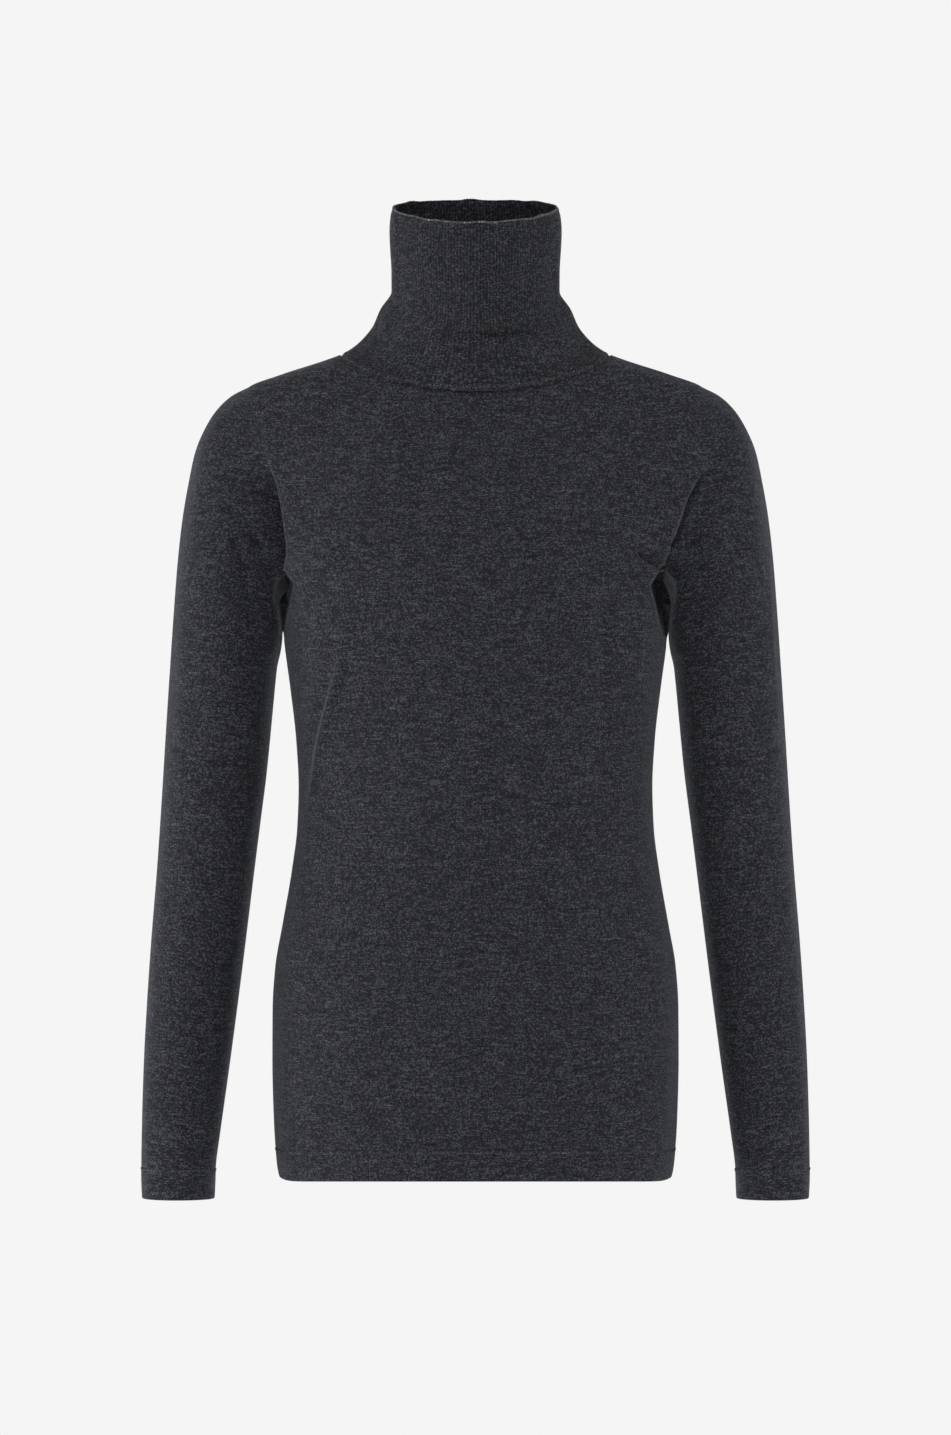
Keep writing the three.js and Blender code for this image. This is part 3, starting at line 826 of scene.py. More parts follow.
def grid_normals(grid: Array, ring: bool) -> Array:
    """Find the directions across a grid of points.

    Args:
        grid: rows and columns of points.
        ring: whether the last column joins the first.

    Returns:
        Unit vectors along columns crossed with rows.
    """
    if ring:
        wide = np.concatenate([grid[:, -1:], grid, grid[:, :1]], axis=1)
        along_row = (wide[:, 2:] - wide[:, :-2]) / 2
    else:
        along_row = np.gradient(grid, axis=1)
    return unit(np.cross(along_row, np.gradient(grid, axis=0)))


def grid_uv(grid: Array, ring: bool) -> Array:
    """Lay a grid out flat by the lengths of its rows and columns.

    Args:
        grid: rows and columns of points in millimetres.
        ring: whether the last column joins the first, which gives one column more.

    Returns:
        Places in metres, u across and v along.
    """
    wide = np.concatenate([grid, grid[:, :1]], axis=1) if ring else grid
    u = running_length(wide, axis=1)
    return np.stack([u - u[:, -1:] / 2, running_length(wide)], axis=-1) * MM


def flat_area(grid: Array, ring: bool) -> float:
    """Area of a grid in square metres."""
    wide = np.concatenate([grid, grid[:, :1]], axis=1) if ring else grid
    across = wide[1:, 1:] - wide[:-1, :-1]
    other = wide[1:, :-1] - wide[:-1, 1:]
    return float(np.linalg.norm(np.cross(across, other), axis=-1).sum() / 2) * MM * MM


def grid_corners(rows: int, columns: int) -> tuple[Array, Array]:
    """Rows and columns of the four corners of every face of a grid."""
    row, column = np.meshgrid(np.arange(rows), np.arange(columns), indexing="ij")
    corner_rows = np.stack([row, row, row + 1, row + 1], axis=-1)
    corner_columns = np.stack([column, column + 1, column + 1, column], axis=-1)
    return corner_rows.reshape(-1, 4), corner_columns.reshape(-1, 4)


def line_distance(points: Array, line: Array) -> tuple[Array, Array]:
    """Measure from each point to the nearest sample of a line.

    Args:
        points: rows and columns of points.
        line: samples of the line.

    Returns:
        The distances, and which sample is nearest.
    """
    distance = np.empty(points.shape[:-1])
    nearest = np.empty(points.shape[:-1], int)
    for row, row_points in enumerate(points):
        away = np.linalg.norm(row_points[:, None] - line[None], axis=-1)
        nearest[row] = away.argmin(axis=1)
        distance[row] = away.min(axis=1)
    return distance, nearest


def deselect_all() -> None:
    """Deselect every object, and leave edit mode."""
    if bpy.context.object and bpy.context.object.mode != "OBJECT":
        bpy.ops.object.mode_set(mode="OBJECT")
    bpy.ops.object.select_all(action="DESELECT")


def make_active(piece: Piece) -> None:
    """Select one object alone and make it the active one."""
    deselect_all()
    piece.select_set(True)
    bpy.context.view_layer.objects.active = piece


def apply_modifiers(piece: Piece) -> None:
    """Apply every modifier of a piece in order."""
    make_active(piece)
    for modifier in list(piece.modifiers):
        bpy.ops.object.modifier_apply(modifier=modifier.name)


def mesh_object(name: str, points: Array, faces: Array, uvs: Array) -> Piece:
    """Make an object from points and faces.

    Args:
        name: name of the object.
        points: points in metres.
        faces: indices of four corners each.
        uvs: place of each corner of each face.

    Returns:
        The object, smooth all over.
    """
    mesh = bpy.data.meshes.new(name)
    mesh.from_pydata(points.tolist(), [], faces.tolist())
    layer = mesh.uv_layers.new(name=CLOTH_UV)
    layer.data.foreach_set("uv", np.ascontiguousarray(uvs, np.float32).ravel())
    mesh.polygons.foreach_set("use_smooth", np.ones(len(mesh.polygons), bool))
    mesh.update()
    piece = bpy.data.objects.new(name, mesh)
    bpy.context.scene.collection.objects.link(piece)
    return piece


@dataclass
class ClothGrid:
    """Sheet of cloth given by a grid of points of its outer side, in millimetres."""

    name: str
    points: Array
    ring: bool
    flip: bool
    thickness: float = 0.0
    uv: Array | None = None
    sharp_angle: float = 65

    def build(self) -> Piece:
        """Build the sheet with its thickness turned in.

        Returns:
            The finished object.
        """
        rows, columns = self.points.shape[:2]
        uv = grid_uv(self.points, self.ring) if self.uv is None else self.uv
        corner_rows, corner_columns = grid_corners(rows - 1, columns - (not self.ring))
        if self.flip:
            corner_rows = corner_rows[:, ::-1]
            corner_columns = corner_columns[:, ::-1]
        faces = corner_rows * columns + corner_columns % columns
        uvs = uv[corner_rows, corner_columns]
        piece = mesh_object(self.name, self.points.reshape(-1, 3) * MM, faces, uvs)
        if self.thickness > 0:
            solid = piece.modifiers.new("thickness", "SOLIDIFY")
            solid.thickness = self.thickness * MM
            solid.offset = -1
            solid.use_rim = True
            apply_modifiers(piece)
            # Mark of the inner faces, which the material brightens with painted light where its
            # inside factor asks for it
            mark = piece.data.attributes.new(WRONG_SIDE, "FLOAT", "POINT")
            inner = np.arange(len(piece.data.vertices)) >= rows * columns
            mark.data.foreach_set("value", inner.astype(np.float32))
            make_active(piece)
            bpy.ops.object.shade_smooth_by_angle(angle=math.radians(self.sharp_angle))
        return piece


class Board:
    """Node tree with short ways to add and join nodes."""

    def __init__(self, tree: bpy.types.NodeTree) -> None:
        """Keep the tree that nodes are added to."""
        self.tree = tree

    def add(
        self, kind: str, values: dict[str | int, object] | None = None, **settings: object
    ) -> bpy.types.Node:
        """Add a node.

        Args:
            kind: its type.
            values: a value or a socket for each of its inputs, by name or number.
            settings: its properties.

        Returns:
            The node.
        """
        node = self.tree.nodes.new(kind)
        for name, value in settings.items():
            setattr(node, name, value)
        for name, value in (values or {}).items():
            self.put(node.inputs[name], value)
        return node

    def put(self, socket: Socket, value: object) -> None:
        """Join a socket to another one, or set its value."""
        if isinstance(value, Socket):
            self.tree.links.new(value, socket)
        else:
            socket.default_value = value

    def math(self, operation: str, *values: object) -> Socket:
        """Add a Math node on up to three values and give its result."""
        inputs = dict(enumerate(values))
        return self.add("ShaderNodeMath", inputs, operation=operation).outputs[0]

    def vector(self, x: object, y: object, z: object = 0.0) -> Socket:
        """Join three values to a vector."""
        return self.add("ShaderNodeCombineXYZ", {0: x, 1: y, 2: z}).outputs[0]

    def noise(self, vector: object, scale: float, detail: float) -> Socket:
        """Add a noise texture and give its value."""
        inputs = {"Vector": vector, "Scale": scale, "Detail": detail}
        return self.add("ShaderNodeTexNoise", inputs, noise_dimensions="2D").outputs["Fac"]

    def spread(self, value: object, **limits: float) -> Socket:
        """Add a Map Range node with limits such as to_min, and give its result."""
        inputs = {name.replace("_", " ").title(): limit for name, limit in limits.items()}
        return self.add("ShaderNodeMapRange", {"Value": value, **inputs}).outputs["Result"]


class StitchGroup(Board):
    """Shader node group that works on counts of stitches across and courses along."""

    def __init__(self, name: str, extra: str) -> None:
        """Start the group, with one input more than the place and the stitch's size.

        Args:
            name: name of the group.
            extra: name of its own input.
        """
        super().__init__(bpy.data.node_groups.new(name, "ShaderNodeTree"))
        new_socket = self.tree.interface.new_socket
        new_socket("Vector", in_out="INPUT", socket_type="NodeSocketVector")
        for label in ("Stitch", "Course", extra):
            new_socket(label, in_out="INPUT", socket_type="NodeSocketFloat")
        entry = self.add("NodeGroupInput")
        self.place = entry.outputs["Vector"]
        self.extra = entry.outputs[extra]
        split = self.add("ShaderNodeSeparateXYZ", {0: self.place})
        self.across = self.math("DIVIDE", split.outputs["X"], entry.outputs["Stitch"])
        self.along = self.math("DIVIDE", split.outputs["Y"], entry.outputs["Course"])

    def finish(self, label: str, value: Socket) -> bpy.types.NodeTree:
        """Give the group its one output, and hand over the finished tree."""
        self.tree.interface.new_socket(label, in_out="OUTPUT", socket_type="NodeSocketFloat")
        self.add("NodeGroupOutput", {label: value})
        return self.tree


# Shares of the single stitch, the fibre and the patch in the blend of the yarn, and the
# limits that the blend is spread between
CELL_SHARE = 0.75
FIBRE_SHARE = 0.3
PATCH_SHARE = 0.08
BLEND_LIMITS = (0.09, 1.09)

# Scales of the noise: along a course, of the fibres and of the patches
STREAK_SCALE = 0.08
FIBRE_SCALE = 1.9
PATCH_SCALE = 60.0
COURSE_SHIFTS = (17.31, 5.17)

# Rise of a stitch's leg, as a share of its course
LEG_SLANT = 0.6


def yarn_blend_group() -> bpy.types.NodeTree:
    """Build the group that mixes dark and light fibres as in heathered yarn.

    Returns:
        The group, whose Blend is 0 for dark yarn and 1 for the palest fibres.
    """
    board = StitchGroup("heathered yarn", "Streak")
    course = board.math("FLOOR", board.along)
    stitch = board.math("FLOOR", board.across)
    cell_place = {"Vector": board.vector(stitch, course)}
    cell = board.add("ShaderNodeTexWhiteNoise", cell_place, noise_dimensions="2D")
    # Each course is a line of its own through the noise, so that its streaks are level
    shift, row = (board.math("MULTIPLY", course, factor) for factor in COURSE_SHIFTS)
    run = board.math("MULTIPLY_ADD", board.across, STREAK_SCALE, shift)
    streak = board.math("SUBTRACT", board.noise(board.vector(run, row), 1.0, 2.0), 0.5)
    fibre = board.noise(board.vector(board.across, board.along), FIBRE_SCALE, 1.0)
    patch = board.noise(board.place, PATCH_SCALE, 3.0)
    total = board.math("MULTIPLY", cell.outputs["Value"], CELL_SHARE)
    total = board.math("MULTIPLY_ADD", streak, board.extra, total)
    total = board.math("MULTIPLY_ADD", fibre, FIBRE_SHARE, total)
    total = board.math("MULTIPLY_ADD", patch, PATCH_SHARE, total)
    low, high = BLEND_LIMITS
    return board.finish("Blend", board.spread(total, from_min=low, from_max=high))


def stitch_relief_group() -> bpy.types.NodeTree:
    """Build the group that gives the relief of plain knitted stitches.

    Returns:
        The group, whose Height runs from 0 in the grooves to 1 on the yarn.
    """
    board = StitchGroup("stitch relief", "Groove")
    centred = board.math("SUBTRACT", board.math("FRACT", board.across), 0.5)
    leg = board.math("MULTIPLY", board.math("ABSOLUTE", centred), 2.0)
    slant = board.math("FRACT", board.math("MULTIPLY_ADD", leg, LEG_SLANT, board.along))
    yarn = board.math("SINE", board.math("MULTIPLY", slant, math.pi))
    wale = board.math("SINE", board.math("MULTIPLY", leg, math.pi))
    relief = board.math("MULTIPLY_ADD", wale, 0.5, board.math("MULTIPLY", yarn, 0.5))
    groove = board.math("MULTIPLY", board.math("POWER", leg, 2.0), board.extra)
    relief = board.math("MULTIPLY", relief, board.math("SUBTRACT", 1.0, groove))
    return board.finish("Height", relief)


@dataclass
class Groups:
    """Shader node groups that the finishes share, each built once."""

    yarn: bpy.types.NodeTree = field(default_factory=yarn_blend_group)
    relief: bpy.types.NodeTree = field(default_factory=stitch_relief_group)


@dataclass(frozen=True)
class KnitFinish:
    """Heathered knit, with the size of one stitch in metres, whose colour also carries painted
    shade in the grooves between stitches and a painted highlight on the raised yarn.
    """

    name: str
    dark: Color
    light: Color
    stitch: float = 0.00105
    course: float = 0.0008
    wale: float = 0.00105
    streak: float = 0.75
    groove: float = 0.0
    relief: float = 0.00022
    roughness: float = 0.95
    sheen: float = 0.3
    sheen_roughness: float = 0.28
    # Brightening of the wrong side: painted light for the light that falls onto the inside
    inside: float = 1.0
    # Painted shade in the grooves and painted highlight on the raised yarn: the stitch relief
    # scales the colour from the low to the high value, and the groove widens that range
    shade_low: float = 0.7
    shade_high: float = 1.14
    groove_dark: float = 0.3
    groove_light: float = 0.2
    middle_place: float = 0.55
    middle_light: float = 0.17
    bump: float = 0.6
    smoother: float = 0.12
    specular: float = 0.25
    sheen_tint: tuple[float, float, float, float] = (0.86, 0.9, 1.0, 1.0)

    def material(self, groups: Groups) -> Material:
        """Build the material.

        Args:
            groups: the shared node groups.

        Returns:
            The material.
        """
        material = bpy.data.materials.new(self.name)
        material.use_nodes = True
        board = Board(material.node_tree)
        board.tree.nodes.clear()
        place = board.add("ShaderNodeUVMap", uv_map=CLOTH_UV).outputs["UV"]
        size = {"Vector": place, "Course": self.course}
        of_yarn = {"Stitch": self.stitch, "Streak": self.streak}
        yarn = board.add("ShaderNodeGroup", size | of_yarn, node_tree=groups.yarn)
        of_relief = {"Stitch": self.wale, "Groove": self.groove}
        relief = board.add("ShaderNodeGroup", size | of_relief, node_tree=groups.relief)
        blend = yarn.outputs["Blend"]
        ramp = board.add("ShaderNodeValToRGB", {"Fac": blend})
        ramp.color_ramp.elements[0].color = (*self.dark, 1)
        ramp.color_ramp.elements[1].color = (*self.light, 1)
        middle = ramp.color_ramp.elements.new(self.middle_place)
        share = self.middle_light
        mixed = ((1 - share) * d + share * l for d, l in zip(self.dark, self.light))
        middle.color = (*mixed, 1)
        # The stitch relief scales the colour: painted shade in the grooves, painted highlight on
        # the raised yarn
        low = self.shade_low - self.groove_dark * self.groove
        high = self.shade_high + self.groove_light * self.groove
        painted_shade = board.spread(relief.outputs["Height"], to_min=low, to_max=high)
        painted_light_inputs = {0: ramp.outputs["Color"], "Scale": self.shaded(board, painted_shade)}
        painted_light_color = board.add("ShaderNodeVectorMath", painted_light_inputs, operation="SCALE")
        height = board.math("MULTIPLY_ADD", blend, 0.5, relief.outputs["Height"])
        bump = board.add(
            "ShaderNodeBump", {"Strength": self.bump, "Distance": self.relief, "Height": height}
        )
        smooth = self.roughness - self.smoother
        shader = board.add(
            "ShaderNodeBsdfPrincipled",
            {
                "Base Color": painted_light_color.outputs["Vector"],
                "Roughness": board.spread(blend, to_min=self.roughness, to_max=smooth),
                "Normal": bump.outputs["Normal"],
                "Specular IOR Level": self.specular,
                "Sheen Weight": self.sheen,
                "Sheen Roughness": self.sheen_roughness,
                "Sheen Tint": self.sheen_tint,
            },
        )
        board.add("ShaderNodeOutputMaterial", {"Surface": shader.outputs["BSDF"]})
        return material

    def shaded(self, board: Board, painted_shade: Socket) -> Socket:
        """Brighten the wrong side of the cloth with painted light, which stands in for the light
        that falls onto the inside.
        """
        if self.inside == 1.0:
            return painted_shade
        mark = board.add("ShaderNodeAttribute", attribute_name=WRONG_SIDE)
        more = board.math("MULTIPLY_ADD", mark.outputs["Fac"], self.inside - 1.0, 1.0)
        return board.math("MULTIPLY", painted_shade, more)


@dataclass(frozen=True)
class FloorFinish:
    """Plain pale floor paint with a faint unevenness."""

    name: str = "pale floor"
    light: Color = (0.8, 0.8, 0.8)
    dark: Color = (0.76, 0.76, 0.76)

    def material(self) -> Material:
        """Build the material."""
        material = bpy.data.materials.new(self.name)
        material.use_nodes = True
        board = Board(material.node_tree)
        shader = board.tree.nodes["Principled BSDF"]
        place = board.add("ShaderNodeTexCoord")
        cloud = board.noise(place.outputs["Object"], 3.0, 2.0)
        colors = {0: cloud, 6: (*self.dark, 1), 7: (*self.light, 1)}
        mix = board.add("ShaderNodeMix", colors, data_type="RGBA")
        board.put(shader.inputs["Base Color"], mix.outputs[2])
        shader.inputs["Roughness"].default_value = 0.8
        return material


@dataclass
class Wardrobe:
    """Materials of the garment."""

    jersey: Material
    rib: Material
    band: Material
    yarn: Material
    rim: Material


def make_wardrobe() -> Wardrobe:
    """Build every material of the garment."""
    groups = Groups()
    dark = (0.009, 0.0093, 0.0114)
    light = (0.115, 0.119, 0.149)
    rib = KnitFinish(
        "heathered rib",
        (0.011, 0.0114, 0.0138),
        (0.118, 0.122, 0.15),
        0.0011,
        wale=0.0022,
        streak=0.35,
        groove=0.9,
        # Painted light on the inside of the collar
        inside=3.2,
    )
    pale = (0.05, 0.0505, 0.055)
    return Wardrobe(
        jersey=KnitFinish("heathered jersey", dark, light).material(groups),
        rib=rib.material(groups),
        band=KnitFinish("heathered band", dark, light).material(groups),
        yarn=KnitFinish("linking yarn", dark, (0.19, 0.193, 0.215)).material(groups),
        rim=KnitFinish("rim yarn", pale, (0.34, 0.345, 0.37)).material(groups),
    )


def dress(piece: Piece, material: Material, nodes: tuple[str, ...] = ()) -> None:
    """Give a piece its material and body, and hide the nodes that it stands for.

    Args:
        piece: the object.
        material: its finish.
        nodes: names of the nodes that it replaces.
    """
    piece.data.materials.clear()
    piece.data.materials.append(material)
    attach(piece, BODY)
    if nodes:
        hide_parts(*nodes)
    log.info("%s: %d faces", piece.name, len(piece.data.polygons))


@dataclass(frozen=True)
class Valley:
    """Trough along an armhole seam, deepest at one place between underarm and tip."""

    depth: float
    place: float
    spread: float
    width: float

    def dip(self, up: Array, away: Array) -> Array:
        """Depth at places along the seam and distances from it."""
        along = bell(up - self.place, self.spread)
        return self.depth * along * bell(away, self.width)


ARMHOLE_VALLEYS: dict[tuple[Side, int], Valley] = {
    (Side.FRONT, -1): Valley(22.0, 0.37, 0.16, 3.3),
    (Side.FRONT, 1): Valley(6.0, 0.3, 0.1, 4.0),
    (Side.BACK, -1): Valley(4.4, 0.26, 0.16, 5.0),
    (Side.BACK, 1): Valley(4.0, 0.24, 0.16, 5.0),
}

# Columns: place on the armhole from the underarm at 0 to the tip at 1, height of the ease
TIP_EASE = ((0.67, 4.3), (0.75, 3.4), (0.83, 2), (0.92, 0.6), (1, 0))
BACK_EASE = ((0.36, 0), (0.5, 6), (0.58, 5.3), *TIP_EASE)
RIGHT_EASE = ((0.42, 0), (0.53, 3.4), (0.58, 5.0), *TIP_EASE)
LEFT_EASE = ((0.26, 0), (0.36, 7), (0.42, 8.4), (0.5, 6.8), (0.58, 5.3), *TIP_EASE)
ARMHOLE_EASES: dict[tuple[Side, int], Table] = {
    (Side.FRONT, -1): RIGHT_EASE,
    (Side.FRONT, 1): LEFT_EASE,
    (Side.BACK, -1): BACK_EASE,
    (Side.BACK, 1): BACK_EASE,
}
EASE_REACH = 30.0


def ease_share(away: Array) -> Array:
    """Share of the ease at a distance from the armhole seam."""
    return np.clip(1 - away / EASE_REACH, 0, 1) ** 2


@dataclass(frozen=True)
class Hollow:
    """Hollow under an arm, where the front folds back behind a rim that is seen from ahead."""

    top_x: float
    top_z: float
    top_slope: float
    rim_x: float
    rim_slope: float
    side_x: float = 150
    low_z: float = -232
    low_fade: float = 16
    top_width: float = 3.0
    rim_width: float = 4.0
    undercut: float = 0.6
    bulge: float = 2.6
    back_share: float = 1.5

    def draw_in(self, points: Array) -> Array:
        """Fold the cloth back.

        Args:
            points: points of the front.

        Returns:
            The same points with the hollow pressed in.
        """
        wide = np.abs(points[..., 0])
        z = points[..., 2]
        top = self.top_z - self.top_slope * np.maximum(0, self.top_x - wide)
        below = smooth_step((top - z) / self.top_width)
        left = smooth_step((z - self.low_z) / self.low_fade)
        rim = self.rim_x + self.rim_slope * (self.top_z - z)
        room = np.maximum(self.side_x - rim, 1.0)
        past = smooth_step((wide - rim + self.rim_width) / (room + self.rim_width))
        share = past * below * left
        pressed = points.copy()
        inward = self.bulge * self.undercut * room * share * (1 - past**2)
        pressed[..., 0] -= np.sign(points[..., 0]) * inward
        pressed[..., 1] *= 1 - self.back_share * share
        return pressed


UNDERARM_HOLLOWS: dict[int, Hollow] = {
    -1: Hollow(147, -170, 1.1, 140.5, 0.2),
    1: Hollow(142, -168, 1.5, 133.0, 0.29),
}


@dataclass
class Panel:
    """Front or back panel with the band along its lower edge."""

    side: Side
    form: BodyForm
    columns: int = 168
    lower_rows: int = 166
    yoke_rows: int = 96
    thickness: float = 1.2
    side_dip: float = 0.35
    shoulder_dip: float = 0.5
    neck_dip: float = 1.1
    armhole_dip: float = 0.05
    seam_width: float = 2.2
    tuck: float = 1.6
    points: Array = field(init=False)
    cloth_uv: Array = field(init=False)
    eases: dict[int, Array] = field(init=False, default_factory=dict)

    def plain_points(self) -> Array:
        """Lay out the panel flat, and shape it with all its creases but no seams yet."""
        across = np.linspace(-1, 1, self.columns + 1)
        cut = self.form.cut
        seam = self.form.hem_at(self.side, across * QUARTER) + cut.band_depth - self.tuck
        share = np.linspace(0, 1, self.lower_rows + 1)[:, None]
        lower_z = seam + (cut.underarm_level - seam) * share
        turn = np.broadcast_to(across * QUARTER, lower_z.shape)
        lower = self.form.point(self.side, turn, lower_z, True)
        up = np.linspace(0, 1, self.yoke_rows + 1)[1:, None]
        across_grid, up_grid = np.broadcast_arrays(across, up)
        place = self.form.yoke_place(self.side, across_grid, up_grid)
        x = place[..., 0]
        z = place[..., 1]
        yoke_turn = self.form.turn_at(x, z)
        yoke = self.form.point(self.side, yoke_turn, z, True)
        turns = np.concatenate([turn, yoke_turn])
        self.cloth_uv = self.form.cloth_place(self.side, turns, np.concatenate([lower_z, z]))
        return np.concatenate([lower, yoke])

    def build_points(self) -> None:
        """Work out the panel and sink the cloth softly along every seam."""
        points = self.plain_points()
        if self.side is Side.FRONT:
            for sign, hollow in UNDERARM_HOLLOWS.items():
                own = points[..., 0] * sign > 0
                points = np.where(own[..., None], hollow.draw_in(points), points)
        normals = grid_normals(points, False) * -self.side.value
        dip = np.zeros(points.shape[:2])
        ease = np.zeros(points.shape)
        yoke = self.lower_rows
        inner = self.neck_column
        edges = (
            (points[: yoke + 1, 0], self.side_dip, self.seam_width),
            (points[: yoke + 1, -1], self.side_dip, self.seam_width),
            (points[-1, : inner + 1], self.shoulder_dip, self.seam_width),
            (points[-1, self.columns - inner :], self.shoulder_dip, self.seam_width),
            (points[-1, inner : self.columns + 1 - inner], self.neck_dip, self.seam_width),
            (points[0], LINKING_DIP, LINKING_WIDTH),
        )
        for line, depth, width in edges:
            away, _ = line_distance(points, line)
            dip = np.maximum(dip, depth * bell(away, width))
        up = np.linspace(0, 1, self.yoke_rows + 1)
        for column, sign in ((0, -1), (-1, 1)):
            away, nearest = line_distance(points, points[yoke:, column])
            valley = ARMHOLE_VALLEYS[self.side, sign].dip(up[nearest], away)
            seam = self.armhole_dip * bell(away, self.seam_width)
            dip = np.maximum(dip, seam + valley)
            height_at = level_curves(ARMHOLE_EASES[self.side, sign])[0]
            height = height_at(np.clip(up, height_at.places[0], 1))
            straight = np.array([0.0, self.side.value, 0.0])
            self.eases[sign] = unit(normals[yoke:, column] + straight) * height[:, None]
            ease += self.eases[sign][nearest] * ease_share(away)[..., None]
        self.points = points - normals * dip[..., None] + ease

    @property
    def neck_column(self) -> int:
        """Column of the neck point on the side of -X."""
        return round(self.columns * (1 - self.form.cut.neck_share) / 2)

    def armhole_edge(self, sign: int) -> Array:
        """Points of the finished armhole edge, from the underarm up."""
        return self.points[self.lower_rows :, 0 if sign < 0 else -1]

    def neck_edge(self) -> Array:
        """Points of the finished neckline from -X to +X."""
        inner = self.neck_column
        return self.points[-1, inner : self.columns + 1 - inner]

    def band_points(self) -> Array:
        """Points of the folded band, from its outer top edge round to its inner one."""
        cut = self.form.cut
        turn = np.linspace(-QUARTER, QUARTER, self.columns + 1)
        rows = []
        for height, inset in band_profile(cut.band_depth):
            z = self.form.hem_at(self.side, turn) + height
            points = self.form.point(self.side, turn, z, False)
            x = points[..., 0]
            y = points[..., 1]
            normal = self.form.normal(self.side, x, y, z)
            rows.append(points - normal * inset)
        return np.stack(rows)


def band_profile(depth: float) -> list[tuple[float, float]]:
    """Section of a folded band.

    Args:
        depth: height of the band.

    Returns:
        Heights above the fold and insets, from the outer top edge to the inner one.
    """
    outer = [(depth + 0.1, 0.05), (depth - 0.8, -0.1)]
    outer += [(h, -0.05 - 0.15 * math.sin(math.pi * h / depth)) for h in (19, 14, 9, 5, 2.4)]
    turns = [math.pi * step / 8 for step in range(9)]
    radius = FOLD_RADIUS
    fold_line = [(radius - radius * math.sin(t), radius - radius * math.cos(t)) for t in turns]
    inner = [(h, 2 * radius) for h in (4, 9, 16)]
    inner += [(depth - 1.5, 2 * radius - 0.1), (depth + 1.0, 1.75)]
    return outer + fold_line + inner


